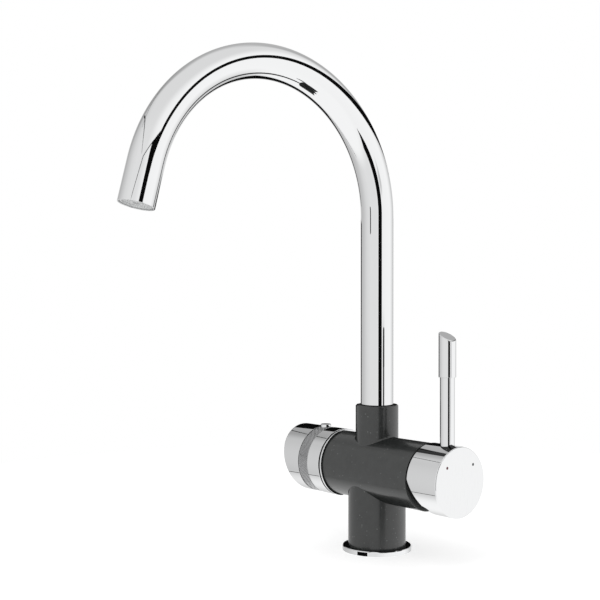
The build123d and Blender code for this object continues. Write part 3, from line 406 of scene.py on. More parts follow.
def spread(tree, value, low, high, to_low=0.0, to_high=1.0):
    """Stretches a value from one range to another and clips it there."""
    ranges = {"From Min": low, "From Max": high, "To Min": to_low, "To Max": to_high}
    return put(tree, "ShaderNodeMapRange", {"Value": value, **ranges}).outputs[0]


def squeezed(tree, vector, scale):
    """Coordinates times a number for each axis; a large one makes a noise short along it."""
    made = put(tree, "ShaderNodeVectorMath", {0: vector, 1: scale}, operation="MULTIPLY")
    return made.outputs[0]


# %% Fine marks
WIPED_UPRIGHT = (1.0, 1.0, 0.04)
HAIRS_PER_SMEAR = 60.0
marks, marks_in, marks_out = new_group(
    "fine marks", (("Size", 60.0), ("Amount", 0.5)), ("Smear", "Hairline")
)
smear = spread(marks, noise(marks, marks_in["Vector"], marks_in["Size"], 3.0, 0.6), 0.42, 0.75)
marks.links.new(maths(marks, "MULTIPLY", smear, marks_in["Amount"]), marks_out["Smear"])
wiped = squeezed(marks, marks_in["Vector"], WIPED_UPRIGHT)
hair_scale = maths(marks, "MULTIPLY", marks_in["Size"], HAIRS_PER_SMEAR)
hairs = spread(marks, noise(marks, wiped, hair_scale, 1.0, 0.4), 0.62, 0.72)
marks.links.new(maths(marks, "MULTIPLY", hairs, marks_in["Amount"]), marks_out["Hairline"])

# %% Turned lines
turned, turned_in, turned_out = new_group("turned lines", (("Pitch", 9000.0),), ("Line", "Stain"))
line = noise(turned, turned_in["Vector"], turned_in["Pitch"], 1.0, 0.5)
turned.links.new(line, turned_out["Line"])
stain = spread(turned, noise(turned, turned_in["Vector"], 90.0, 4.0, 0.65), 0.35, 0.75)
turned.links.new(stain, turned_out["Stain"])

# %% Moulded skin
skin, skin_in, skin_out = new_group("moulded skin", (("Size", 2600.0),), ("Grain", "Cloud"))
skin.links.new(noise(skin, skin_in["Vector"], skin_in["Size"], 3.0, 0.6), skin_out["Grain"])
skin.links.new(noise(skin, skin_in["Vector"], 120.0, 2.0, 0.5), skin_out["Cloud"])
print("groups", [g.name for g in bpy.data.node_groups])

# %% [markdown]
# ## Finishes
# Every material starts the same way: a Principled shader, the object's own coordinates, and the
# numbers that hold all over the surface set on the shader's own sockets. What changes from place
# to place is fed in afterwards.

# %% Material shell
LACQUER_IOR = 1.5


def new_finish(name, colour, roughness, metallic=0.0):
    """A material with its tree, its shader and the object's coordinates."""
    material = bpy.data.materials.new(name)
    material.use_nodes = True
    material.diffuse_color = (*colour, 1.0)
    tree = material.node_tree
    shader = tree.nodes["Principled BSDF"]
    shader.inputs["Base Color"].default_value = (*colour, 1.0)
    shader.inputs["Roughness"].default_value = roughness
    shader.inputs["Metallic"].default_value = metallic
    shader.inputs["IOR"].default_value = LACQUER_IOR
    place = put(tree, "ShaderNodeTexCoord").outputs["Object"]
    return material, tree, shader, place


def feed(shader, label, source):
    """Links an output to one of the shader's inputs."""
    shader.id_data.links.new(source, shader.inputs[label])


def tint(tree, share, under, over):
    """A colour between two, by a mask; the one under it may be another node's output."""
    if not isinstance(under, bpy.types.NodeSocket):
        under = (*under, 1.0)
    colours = {"Factor": share, "A": under, "B": (*over, 1.0)}
    return put(tree, "ShaderNodeMix", colours, data_type="RGBA").outputs["Result"]


def emboss(tree, shader, height, depth):
    """Feeds a height to the shader's normal; depth in metres."""
    bump = put(tree, "ShaderNodeBump", {"Height": height, "Strength": 1.0, "Distance": depth})
    feed(shader, "Normal", bump.outputs[0])


# %% [markdown]
# ### Chrome
# Chrome plate on brass: a mirror with a slightly cool, very light grey. Fingers leave soft smears
# that only dull the mirror a little, so they go to the roughness. The fine hairlines of wiping
# are a shade darker, so they go to the colour.

# %% Chrome
CHROME_CLEAN = (0.90, 0.905, 0.91)
CHROME_WIPED = (0.87, 0.875, 0.88)
chrome, tree, shader, place = new_finish("chrome plate", CHROME_CLEAN, 0.03, metallic=1.0)
use = put(tree, "ShaderNodeGroup", {"Vector": place, "Size": 55.0, "Amount": 1.0}, node_tree=marks)
feed(shader, "Roughness", spread(tree, use.outputs["Smear"], 0.0, 1.0, 0.022, 0.05))
feed(shader, "Base Color", tint(tree, use.outputs["Hairline"], CHROME_CLEAN, CHROME_WIPED))

# %% [markdown]
# ### Knurled chrome
# Little light finds its way down between the points of a knurl, and that shade is painted into
# the colour: it follows the distance from the barrel's axis, painted shade in the valleys, bright
# on the points. A Mapping node moves the axis to the middle and takes the length along it away,
# and what is left is the radius.

# %% Knurled chrome
BARREL_Z = 60.0 * MM
VALLEY_R = 24.85 * MM
POINT_R = 25.2 * MM
VALLEY_SHADE_COLOUR = (0.16, 0.16, 0.165)
POINT_COLOUR = (0.86, 0.865, 0.87)


def barrel_radius(tree, place):
    """The distance from the barrel's axis."""
    centred = put(tree, "ShaderNodeMapping", {"Vector": place})
    centred.inputs["Location"].default_value = (0.0, 0.0, -BARREL_Z)
    centred.inputs["Scale"].default_value = (0.0, 1.0, 1.0)
    span = put(tree, "ShaderNodeVectorMath", {0: centred.outputs[0]}, operation="LENGTH")
    return span.outputs["Value"]


knurled, tree, shader, place = new_finish("knurled chrome", (0.60, 0.605, 0.61), 0.12, metallic=1.0)
height = spread(tree, barrel_radius(tree, place), VALLEY_R, POINT_R)
# Painted shade: the valleys get a dark colour because little light reaches them.
feed(shader, "Base Color", tint(tree, height, VALLEY_SHADE_COLOUR, POINT_COLOUR))

# %% [markdown]
# ### Granite coat
# The casting has a dark grey coat that matches granite sinks: a smooth, half-gloss lacquer full
# of fine grains, with a soft cloudiness and here and there a lighter speck. The cloud and the
# grains are two noises of different size. The specks are the cores of Voronoi cells, and only
# the cells with a high random number get one, which keeps them sparse.

# %% Granite coat: cloud, grains and specks
COAT_WEIGHT = 0.8
COAT_ROUGHNESS = 0.16
GROUND_DARK = (0.012, 0.0135, 0.013)
GROUND_LIGHT = (0.025, 0.027, 0.0265)
SPECK_COLOUR = (0.10, 0.105, 0.103)
GRAIN_HEIGHT = 0.00002
granite, tree, shader, place = new_finish("granite coat", (0.018, 0.0195, 0.019), 0.34)
shader.inputs["Coat Weight"].default_value = COAT_WEIGHT
shader.inputs["Coat Roughness"].default_value = COAT_ROUGHNESS
cloud = noise(tree, place, 160.0, 3.0, 0.6)
grain = noise(tree, place, 2400.0, 2.0, 0.6)
cells = put(tree, "ShaderNodeTexVoronoi", {"Vector": place, "Scale": 520.0}, feature="F1")
core = spread(tree, cells.outputs["Distance"], 0.30, 0.12)
chosen = put(tree, "ShaderNodeSeparateColor", {0: cells.outputs["Color"]}).outputs[0]
speck = maths(tree, "MULTIPLY", core, spread(tree, chosen, 0.84, 0.97))
tone = maths(tree, "ADD", maths(tree, "MULTIPLY", cloud, 0.5), maths(tree, "MULTIPLY", grain, 0.5))
ground = tint(tree, spread(tree, tone, 0.34, 0.66), GROUND_DARK, GROUND_LIGHT)
flecked = tint(tree, speck, ground, SPECK_COLOUR)
emboss(tree, shader, grain, GRAIN_HEIGHT)

# %% [markdown]
# The coat ends at the barrel's mouth. The face that the handle cap covers is painted as shade: a
# dull grey without the coat's bright reflections, which shows as a thin grey crescent in the gap
# beside the cap. The same radius as above and the length along the barrel make the mask for it.

# %% Granite coat: painted shade at the mouth
MOUTH_FROM = 50.0 * MM
COATED_R = 23.55 * MM
GAP_SHADE_GREY = (0.075, 0.078, 0.077)
along_barrel = put(tree, "ShaderNodeSeparateXYZ", {0: place}).outputs["X"]
behind_cap = spread(tree, along_barrel, MOUTH_FROM, MOUTH_FROM + 0.5 * MM)
inside_rim = spread(tree, barrel_radius(tree, place), COATED_R, COATED_R - 0.1 * MM)
gap_shade_mask = maths(tree, "MULTIPLY", behind_cap, inside_rim)
# Painted shade: the face in the gap beside the cap is a dull grey with no coat.
feed(shader, "Base Color", tint(tree, gap_shade_mask, flecked, GAP_SHADE_GREY))
feed(shader, "Coat Weight", spread(tree, gap_shade_mask, 0.0, 1.0, COAT_WEIGHT, 0.0))
sheen = spread(tree, cloud, 0.3, 0.7, 0.30, 0.40)
feed(shader, "Roughness", maths(tree, "MAXIMUM", sheen, gap_shade_mask))
print("granite nodes", len(tree.nodes))

# %% [markdown]
# ### Turned brass and steel
# Both come off a lathe, so their noise is squeezed along the axis they turned on. The barrel's
# inner pieces turn about X, the spout's foot about Z.

# %% Machined metals
LATHE_PITCH = 300.0
GROOVE_DEPTH = 0.00001
ALONG_X = (40.0, 1.0, 1.0)
ALONG_Z = (1.0, 1.0, 40.0)
# dark and light colour, roughness
BRASS = ((0.55, 0.40, 0.17), (0.74, 0.58, 0.29), 0.30)
STEEL = ((0.48, 0.48, 0.49), (0.66, 0.66, 0.67), 0.28)
SCREW_STEEL = ((0.46, 0.46, 0.47), (0.64, 0.64, 0.65), 0.30)


def machined(name, dark, light, rough, squeeze):
    """A turned metal; squeeze scales the coordinates, with the large number along its axis."""
    material, tree, shader, place = new_finish(name, light, rough, metallic=1.0)
    lathe = {"Vector": squeezed(tree, place, squeeze), "Pitch": LATHE_PITCH}
    use = put(tree, "ShaderNodeGroup", lathe, node_tree=turned)
    feed(shader, "Base Color", tint(tree, use.outputs["Stain"], dark, light))
    dullness = spread(tree, use.outputs["Line"], 0.3, 0.7, rough - 0.08, rough + 0.1)
    feed(shader, "Roughness", dullness)
    emboss(tree, shader, use.outputs["Line"], GROOVE_DEPTH)
    return material


brass_x = machined("brass turned about the barrel", *BRASS, ALONG_X)
brass_z = machined("brass turned about the riser", *BRASS, ALONG_Z)
steel_x = machined("steel turned about the barrel", *STEEL, ALONG_X)
steel_z = machined("steel screw", *SCREW_STEEL, ALONG_Z)

# %% [markdown]
# ### Plastics, rubber and ceramic
# Moulded pieces share one recipe with other numbers: a fine grain in the height, a slight cloud
# in the colour. Rubber is darker and duller, and the ceramic discs are lapped nearly to a mirror.

# %% Moulded and lapped pieces
# scale and height of the grain
SKIN = (2600.0, 0.00001)
RUBBER_SKIN = (1800.0, 0.00002)
LAPPED = (4000.0, 0.000002)
GLAZE = (3000.0, 0.000004)


def moulded(name, dark, light, rough, grain_scale, grain_height):
    """A moulded finish with a cloud in its colour and a grain in its height."""
    material, tree, shader, place = new_finish(name, light, rough)
    use = put(tree, "ShaderNodeGroup", {"Vector": place, "Size": grain_scale}, node_tree=skin)
    cloudy = spread(tree, use.outputs["Cloud"], 0.3, 0.7)
    feed(shader, "Base Color", tint(tree, cloudy, dark, light))
    dullness = spread(tree, use.outputs["Grain"], 0.3, 0.7, rough - 0.06, rough + 0.06)
    feed(shader, "Roughness", dullness)
    emboss(tree, shader, use.outputs["Grain"], grain_height)
    return material


white_plastic = moulded("white plastic", (0.74, 0.74, 0.73), (0.82, 0.82, 0.81), 0.35, *SKIN)
grey_plastic = moulded("grey plastic", (0.76, 0.77, 0.77), (0.86, 0.87, 0.87), 0.38, *SKIN)
black_plastic = moulded("black plastic", (0.020, 0.020, 0.020), (0.034, 0.034, 0.034), 0.42, *SKIN)
rubber = moulded("rubber", (0.018, 0.018, 0.018), (0.034, 0.034, 0.034), 0.62, *RUBBER_SKIN)
ceramic = moulded("lapped ceramic", (0.80, 0.80, 0.78), (0.88, 0.88, 0.86), 0.14, *LAPPED)
red_enamel = moulded("red enamel", (0.085, 0.014, 0.02), (0.125, 0.022, 0.03), 0.22, *GLAZE)
grey_enamel = moulded("grey enamel", (0.040, 0.043, 0.043), (0.062, 0.066, 0.066), 0.22, *GLAZE)
print("finishes", len(bpy.data.materials))

# %% [markdown]
# ## Finishes on the CAD pieces
# Pieces whose CAD shape is right stay, and only get their finish. Most of them are inside the
# body, where they show when the model is taken apart.

# %% Dress the CAD nodes
SLOT_FINISH = {
    "granite_coat": granite, "chrome": chrome, "brass": brass_x, "steel": steel_x, "rubber": rubber,
    "ceramic_disc": ceramic, "white_plastic": white_plastic, "grey_plastic": grey_plastic,
    "black_plastic": black_plastic, "red_mark": red_enamel, "cold_mark_grey": grey_enamel,
}
UPRIGHT_FINISH = {
    "spout_foot": brass_z, "spout_lock_screw": steel_z, "handle_set_screw": steel_z,
}
for part in frame["record"]["subparts"]:
    dressed = frame["nodes"][part["node"]]
    finish = UPRIGHT_FINISH.get(part["node"], SLOT_FINISH[part["material_slot"]])
    dressed.data.materials.clear()
    dressed.data.materials.append(finish)
print("dressed", len(frame["nodes"]))

# %% [markdown]
# ## Mesh helpers for the bright pieces
# A turned piece is a profile carried round an axis, and a bent tube is a circle carried along a
# line. Both are stacks of rings, so one function, `sleeve`, skins a stack of rings. `eased` rounds
# the corners of a profile, because real edges are never sharp: the small round catches a line of
# light. Normals are then weighted by face area, so that a long wall stays perfectly straight in
# the mirror and only the small round bends the reflection.


# %% Eased corners
def eased(profile, steps=5):
    """Profile points (along, radius, easing) with each corner replaced by a small arc."""
    out = []
    for i, (a, r, easing) in enumerate(profile):
        corner = Vector((a, r))
        if easing == 0 or i in (0, len(profile) - 1):
            out.append((a, r))
            continue
        back = (Vector(profile[i - 1][:2]) - corner).normalized()
        ahead = (Vector(profile[i + 1][:2]) - corner).normalized()
        half = acos(max(-1.0, min(1.0, back.dot(ahead)))) / 2
        centre = corner + (back + ahead).normalized() * (easing / sin(half))
        first = corner + back * (easing / tan(half)) - centre
        last = corner + ahead * (easing / tan(half)) - centre
        for k in range(steps + 1):
            spoke = first.lerp(last, k / steps).normalized() * easing
            out.append(tuple(centre + spoke))
    return out


# %% Skin a stack of rings
def sleeve(name, rings, sides=192, closed=False, shift=None):
    """Skins rings (centre, across, up, radius) in metres; a ring of radius 0 is a pole."""
    verts, faces, rows = [], [], []
    for centre, across, up, radius in rings:
        count = 1 if radius == 0 else sides
        rows.append((len(verts), count))
        for k in range(count):
            turn = 2 * pi * k / sides
            point = centre + (across * cos(turn) + up * sin(turn)) * radius
            verts.append(shift(point) if shift else point)
    pairs = list(zip(rows, rows[1:]))
    if closed:
        pairs.append((rows[-1], rows[0]))
    for (a, na), (b, nb) in pairs:
        for k in range(sides):
            n = (k + 1) % sides
            if na == 1:
                faces.append((a, b + n, b + k))
            elif nb == 1:
                faces.append((a + k, a + n, b))
            else:
                faces.append((a + k, a + n, b + n, b + k))
    mesh = bpy.data.meshes.new(name)
    mesh.from_pydata([tuple(v) for v in verts], [], faces)
    return finished(name, mesh)


# %% Normals of a finished piece
SHARP = radians(40.0)
WELD = 1e-6


def plain_mesh(piece):
    """The piece's mesh with its modifiers applied, which are then removed."""
    graph = bpy.context.evaluated_depsgraph_get()
    mesh = bpy.data.meshes.new_from_object(piece.evaluated_get(graph), depsgraph=graph)
    old = piece.data
    piece.modifiers.clear()
    piece.data = mesh
    bpy.data.meshes.remove(old)
    mesh.name = piece.name
    return piece


def finished(name, mesh):
    """Merges doubles, turns faces outwards, and weights the normals by face area."""
    work = bmesh.new()
    work.from_mesh(mesh)
    bmesh.ops.remove_doubles(work, verts=work.verts, dist=WELD)
    bmesh.ops.recalc_face_normals(work, faces=work.faces)
    work.to_mesh(mesh)
    work.free()
    mesh.polygons.foreach_set("use_smooth", [True] * len(mesh.polygons))
    mesh.set_sharp_from_angle(angle=SHARP)
    piece = bpy.data.objects.new(name, mesh)
    scene.collection.objects.link(piece)
    weighted = piece.modifiers.new("even normals", "WEIGHTED_NORMAL")
    weighted.mode = "FACE_AREA"
    weighted.weight = 100
    weighted.keep_sharp = True
    return plain_mesh(piece)


def dress(piece, finish, body, slot, *nodes):
    """Gives a piece its finish, the body it moves with and the nodes it stands for; slot is not
    used.
    """
    piece.data.materials.clear()
    piece.data.materials.append(finish)
    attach(piece, body)
    if nodes:
        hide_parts(*nodes)
    print(piece.name, "faces", len(piece.data.polygons))


# %% Rings round the barrel, and rings round an upright axis
X_WAY, Y_WAY, Z_WAY = Vector((1, 0, 0)), Vector((0, 1, 0)), Vector((0, 0, 1))


def barrel_rings(profile, way=1):
    """Rings of a profile in mm along the barrel's axis; way is -1 for distances to the left."""
    return [(Vector((way * a * MM, 0, BARREL_Z)), Y_WAY, Z_WAY, r * MM) for a, r in profile]


def upright_rings(profile, x=0.0):
    """Rings of a profile in mm, heights first, about an upright line at x."""
    return [(Vector((x * MM, 0, a * MM)), X_WAY, Y_WAY, r * MM) for a, r in profile]


# %% [markdown]
# ## The spout
# One chromed tube: a straight riser, a bend of 165 degrees and a short straight tail. The rings
# stand square to the line of the tube. On the straight runs they can be far apart, and on the bend
# there is one for each degree, or for every third degree in the bore, which is hardly seen. The
# wall goes round the mouth with a small ease and back up inside, so that the tube is a real shell.

# %% The spout's line
RISER_FOOT = 101.1
BEND_Z = 245.0
BEND_R = 101.0
BEND_SWEEP = 165
TAIL = 28.0
RISE = BEND_Z - RISER_FOOT
BEND = radians(BEND_SWEEP) * BEND_R
WHOLE = RISE + BEND + TAIL


def spout_ring(run, radius):
    """The ring at a distance in mm along the spout's line."""
    if run <= RISE:
        centre, angle = (0.0, RISER_FOOT + run), 0.0
    else:
        angle = min((run - RISE) / BEND_R, radians(BEND_SWEEP))
        past = max(0.0, run - RISE - BEND)
        centre = (
            -BEND_R + BEND_R * cos(angle) - sin(angle) * past,
            BEND_Z + BEND_R * sin(angle) + cos(angle) * past,
        )
    outwards = Vector((0, cos(angle), sin(angle)))
    return Vector((0, centre[0] * MM, centre[1] * MM)), X_WAY, outwards, radius * MM


print("length of the spout's line in mm", round(WHOLE, 1))

# %% The spout's tube
TUBE_R = 12.0
BORE_R = 11.0
MOUTH_EASE = 0.12
MOUTH_STEPS = 6
BORE_STEPS = 55
outer_runs = list(np.linspace(0, RISE, 8))
outer_runs += [RISE + BEND * k / BEND_SWEEP for k in range(1, BEND_SWEEP + 1)]
outer_runs += [WHOLE - TAIL / 2, WHOLE - MOUTH_EASE]
inner_runs = [WHOLE - MOUTH_EASE, WHOLE - TAIL / 2]
inner_runs += [RISE + BEND * k / BORE_STEPS for k in range(BORE_STEPS, 0, -1)]
inner_runs += list(np.linspace(RISE, 0, 5))
rings = [spout_ring(run, TUBE_R) for run in outer_runs]
for k in range(1, MOUTH_STEPS):
    quarter = pi / 2 * k / MOUTH_STEPS
    short = MOUTH_EASE * (1 - sin(quarter))
    narrow = MOUTH_EASE * (1 - cos(quarter))
    rings.append(spout_ring(WHOLE - short, TUBE_R - narrow))
rings.append(spout_ring(WHOLE, TUBE_R - MOUTH_EASE))
rings.append(spout_ring(WHOLE, BORE_R + MOUTH_EASE / 2))
rings += [spout_ring(run, BORE_R) for run in inner_runs]
spout = sleeve("spout_arc", rings, sides=144, closed=True)
dress(spout, chrome, "spout", "chrome", "spout_tube")

# %% [markdown]
# ## The casting
# Pillar, neck and barrel are one casting, and its CAD shape with the soft fillet at the crossing
# is right. A copy is merged, because the CAD mesh is loose triangles. The CAD object itself is
# left as it is. The copy's mouth behind the lever is drawn back a little and its rim is rounded,
# which opens the fine dark gap beside the cap.

# %% The casting
END_X = 53.5 * MM
END_BACK = 1.6 * MM
END_KEPT = 0.2 * MM
END_LEAN = 0.1
END_EASE = 0.45 * MM
RIM_FROM_R = 23.9 * MM
FLAT = radians(0.05)


def eased_mouth(mesh):
    """Draws the barrel's mouth back, the more the higher it lies, and rounds its outer rim."""
    work = bmesh.new()
    work.from_mesh(mesh)
    bmesh.ops.remove_doubles(work, verts=work.verts, dist=WELD)
    bmesh.ops.dissolve_limit(work, angle_limit=FLAT, verts=work.verts, edges=work.edges)
    mouth = [v for v in work.verts if v.co.x > END_X - WELD]
    rim = {v for v in mouth if (v.co - Vector((v.co.x, 0, BARREL_Z))).length > RIM_FROM_R}
    for vert in mouth:
        vert.co.x -= min(END_BACK, max(END_KEPT, END_BACK + END_LEAN * (vert.co.z - BARREL_Z)))
    edges = [e for e in work.edges if e.verts[0] in rim and e.verts[1] in rim]
    bmesh.ops.bevel(work, geom=edges, offset=END_EASE, segments=4, profile=0.5, affect="EDGES")
    bmesh.ops.triangulate(work, faces=[f for f in work.faces if len(f.verts) > 4])
    work.to_mesh(mesh)
    work.free()
    return mesh


casting = finished("coated_casting", eased_mouth(frame["nodes"]["body_casting"].data.copy()))

# %% [markdown]
# A smooth mesh shares one normal at a corner between the faces that meet there. Next to a fillet
# that leans the normals of a long straight wall, and its reflections wander off. So every corner
# on one of the casting's three round walls gets the true direction, straight away from the axis.

# %% True normals on the casting's round walls
# centre, the plane that the circle lies in, and its radius in mm
ROUND_WALLS = (
    (Vector((0, 0, 0)), Vector((1, 1, 0)), 21.25),
    (Vector((0, 0, 0)), Vector((1, 1, 0)), 15.75),
    (Vector((0, 0, BARREL_Z)), Vector((0, 1, 1)), 24.0),
)
WALL_PLAY = 0.03 * MM
# The cosine between a face and the wall that it is still a part of.
SAME_WAY = 0.999


def way_out(point, centre, plane):
    """From a round wall's axis to a point."""
    return (point - centre) * plane


def true_walls(mesh):
    """Points the normals of every outer round wall straight away from its axis."""
    normals = [corner.vector.copy() for corner in mesh.corner_normals]
    straightened = 0
    for face in mesh.polygons:
        for centre, plane, wall_r in ROUND_WALLS:
            ways = [way_out(mesh.vertices[v].co, centre, plane) for v in face.vertices]
            on_wall = all(abs(way.length - wall_r * MM) < WALL_PLAY for way in ways)
            outward = way_out(face.center, centre, plane).normalized()
            if on_wall and face.normal.dot(outward) > SAME_WAY:
                for corner, way in zip(face.loop_indices, ways):
                    normals[corner] = way.normalized()
                straightened += 1
    mesh.normals_split_custom_set(normals)
    print("faces on round walls", straightened, "of", len(mesh.polygons))


true_walls(casting.data)
dress(casting, granite, "body", "granite_coat", "body_casting")

# %% [markdown]
# ## Base ring and trim ring
# Two bright rings: the flat escutcheon under the pillar, and the thin one between barrel and knob
# that gives the fine double line in the picture. Both are profiles that close on themselves, so
# the last point of each is dropped, and `closed` joins the last ring to the first.

# %% The base ring
BASE_BORE_R = 18.3
BASE_R = 25.5
BASE_TOP = 3.5
BASE_BEVEL = 0.5
base_profile = [
    (0.0, BASE_BORE_R, 0), (0.0, BASE_R, 0.15), (BASE_TOP - BASE_BEVEL, BASE_R, 0.3),
    (BASE_TOP, BASE_R - BASE_BEVEL, 0.2), (BASE_TOP, BASE_BORE_R, 0.15), (0.0, BASE_BORE_R, 0),
]
base_ring = sleeve("base_escutcheon", upright_rings(eased(base_profile)[:-1]), closed=True)
dress(base_ring, chrome, "body", "chrome", "base_ring")

# %% The trim ring
TRIM_NEAR = 34.5
TRIM_FAR = 35.9
TRIM_BORE_R = 10.5
TRIM_R = 25.25
TRIM_EASE = 0.4
trim_profile = [
    (TRIM_NEAR, TRIM_BORE_R, 0), (TRIM_NEAR, TRIM_R, TRIM_EASE), (TRIM_FAR, TRIM_R, TRIM_EASE),
    (TRIM_FAR, TRIM_BORE_R, 0), (TRIM_NEAR, TRIM_BORE_R, 0),
]
trim_ring = sleeve("trim_ring", barrel_rings(eased(trim_profile)[:-1], way=-1), closed=True)
dress(trim_ring, chrome, "body", "chrome", "knob_trim_ring")

# %% [markdown]
# ## The knob for filtered water
# A chromed cup with a rounded far edge and a knurled band. The band is a shallow groove in the
# profile, filled by rows of small diamonds. The far end is cut on a slant, with its top further
# out, so every point beyond the band moves along the barrel by as much as the slant asks at its
# height. The wall stays a true cylinder, because the points only slide along it.

# %% The knob's cup
KNOB_R = 25.25
KNOB_BORE_R = 22.8
KNOB_NEAR = 37.3
KNOB_FAR = 78.45
KNOB_FLOOR = 74.6
KNOB_SLOPE = tan(radians(15.0))
BAND_NEAR = 50.0
BAND_FAR = 61.0
BAND_FLOOR_R = 24.85
SLANT_FROM = BAND_FAR + 1.0
knob_profile = [
    (KNOB_FLOOR, 0, 0), (KNOB_FLOOR, KNOB_BORE_R, 0), (KNOB_NEAR, KNOB_BORE_R, 0.2),
    (KNOB_NEAR, KNOB_R, 0.3), (BAND_NEAR, KNOB_R, 0.12), (BAND_NEAR, BAND_FLOOR_R, 0),
    (BAND_FAR, BAND_FLOOR_R, 0), (BAND_FAR, KNOB_R, 0.12), (KNOB_FAR, KNOB_R, 1.7),
    (KNOB_FAR, 0, 0),
]


def far_slant(point):
    """Moves a point beyond the band outwards, the further the higher it lies."""
    if point.x > -SLANT_FROM * MM:
        return point
    return Vector((point.x - (point.z - BARREL_Z) * KNOB_SLOPE, point.y, point.z))


knob = sleeve("knob_cup", barrel_rings(eased(knob_profile), way=-1), shift=far_slant)
dress(knob, chrome, "knob", "chrome", "filter_knob")

# %% [markdown]
# ### Knurling with Geometry Nodes
# The diamonds are one four-sided cone, placed many hundred times. The tree makes a line of points
# and moves each one by its index: the remainder gives the place round the knob, the quotient gives
# the row, and every second row is turned by half a step. An Euler turn about X stands each cone
# upright on the knob. Realize Instances and Set Material come last, so that a plain mesh is left.

# %% The knurling's inputs
KNURL_AROUND = 96
KNURL_ROWS = 12
BAND_MARGIN = 0.15
DIAMOND_HEIGHT = 0.36
ROWS_WIDTH = BAND_FAR - BAND_NEAR - 2 * BAND_MARGIN
KNURL_INPUTS = (
    ("Around", "NodeSocketInt", KNURL_AROUND),
    ("Rows", "NodeSocketInt", KNURL_ROWS),
    ("Floor Radius", "NodeSocketFloat", BAND_FLOOR_R * MM),
    ("Start", "NodeSocketFloat", (BAND_NEAR + BAND_MARGIN) * MM),
    ("Row Pitch", "NodeSocketFloat", ROWS_WIDTH * MM / (KNURL_ROWS + 1)),
    ("Diamond Height", "NodeSocketFloat", DIAMOND_HEIGHT * MM),
    ("Barrel Height", "NodeSocketFloat", BARREL_Z),
)
knurl = bpy.data.node_groups.new("knurling", "GeometryNodeTree")
knurl.interface.new_socket("Geometry", in_out="OUTPUT", socket_type="NodeSocketGeometry")
for label, kind, _ in KNURL_INPUTS:
    knurl.interface.new_socket(label, in_out="INPUT", socket_type=kind)
knurl.interface.new_socket("Finish", in_out="INPUT", socket_type="NodeSocketMaterial")
k_in = knurl.nodes.new("NodeGroupInput").outputs
k_out = knurl.nodes.new("NodeGroupOutput").inputs

# %% The place of each diamond
count = maths(knurl, "MULTIPLY", k_in["Around"], k_in["Rows"])
points = put(knurl, "GeometryNodeMeshLine", {"Count": count})
index = put(knurl, "GeometryNodeInputIndex").outputs[0]
place_round = maths(knurl, "FLOORED_MODULO", index, k_in["Around"])
quotient = maths(knurl, "DIVIDE", maths(knurl, "ADD", index, 0.5), k_in["Around"])
row = maths(knurl, "FLOOR", quotient)
half_step = maths(knurl, "MULTIPLY", maths(knurl, "FLOORED_MODULO", row, 2.0), 0.5)
step = maths(knurl, "DIVIDE", 2 * pi, k_in["Around"])
angle = maths(knurl, "MULTIPLY", maths(knurl, "ADD", place_round, half_step), step)
along = maths(knurl, "MULTIPLY_ADD", maths(knurl, "ADD", row, 1.0), k_in["Row Pitch"])
knurl.links.new(k_in["Start"], along.node.inputs[2])
far_y = maths(knurl, "MULTIPLY", maths(knurl, "COSINE", angle), k_in["Floor Radius"])
far_z = maths(knurl, "MULTIPLY", maths(knurl, "SINE", angle), k_in["Floor Radius"])
to_left = maths(knurl, "MULTIPLY", along, -1.0)
lifted = maths(knurl, "ADD", far_z, k_in["Barrel Height"])
spot = put(knurl, "ShaderNodeCombineXYZ", {"X": to_left, "Y": far_y, "Z": lifted})
placed = put(
    knurl,
    "GeometryNodeSetPosition",
    {"Geometry": points.outputs[0], "Position": spot.outputs[0]},
)

# %% A diamond on each place
cone = put(
    knurl,
    "GeometryNodeMeshCone",
    {"Vertices": 4, "Radius Top": 0.0, "Radius Bottom": 1.0, "Depth": 1.0},
    fill_type="NONE",
)
arc = maths(knurl, "MULTIPLY", step, k_in["Floor Radius"])
half_wide = maths(knurl, "MULTIPLY", arc, 0.5)
size = put(
    knurl,
    "ShaderNodeCombineXYZ",
    {"X": k_in["Row Pitch"], "Y": half_wide, "Z": k_in["Diamond Height"]},
)
lean = put(knurl, "ShaderNodeCombineXYZ", {"X": maths(knurl, "SUBTRACT", angle, pi / 2)})
studs = put(
    knurl,
    "GeometryNodeInstanceOnPoints",
    {"Points": placed.outputs[0], "Instance": cone.outputs["Mesh"], "Scale": size.outputs[0]},
)
knurl.links.new(lean.outputs[0], studs.inputs["Rotation"])
real = put(knurl, "GeometryNodeRealizeInstances", {0: studs.outputs[0]})
coated = put(
    knurl,
    "GeometryNodeSetMaterial",
    {"Geometry": real.outputs[0], "Material": k_in["Finish"]},
)
knurl.links.new(coated.outputs[0], k_out[0])
print("knurling nodes", len(knurl.nodes))


# %% Grow the knurling
def grown(name, tree, values):
    """A mesh object made by a Geometry Nodes tree; values maps input names to what they get."""
    seed = bpy.data.objects.new(name, bpy.data.meshes.new(name))
    scene.collection.objects.link(seed)
    growth = seed.modifiers.new("growth", "NODES")
    growth.node_group = tree
    for item in tree.interface.items_tree:
        if item.item_type == "SOCKET" and item.in_out == "INPUT" and item.name in values:
            growth[item.identifier] = values[item.name]
    return plain_mesh(seed)


knurl_values = {label: value for label, _, value in KNURL_INPUTS}
knurl_values["Finish"] = knurled
knurling = grown("knob_knurling", knurl, knurl_values)
dress(knurling, knurled, "knob", "chrome")

# %% [markdown]
# ## The peg on the knob
# A short round peg stands on top of the knob, with a softly rounded head. It is the screw that
# clamps the knob to its spindle. Its foot reaches through the knob's wall, so no gap shows.

# %% The peg
PEG_X = -57.5
PEG_R = 4.05
PEG_FOOT = 81.0
PEG_TOP = 87.15
peg_profile = [(PEG_FOOT, 0, 0), (PEG_FOOT, PEG_R, 0), (PEG_TOP, PEG_R, 0.6), (PEG_TOP, 0, 0)]
peg = sleeve("knob_clamp_peg", upright_rings(eased(peg_profile), PEG_X), sides=96)
dress(peg, chrome, "knob", "chrome", "knob_peg")

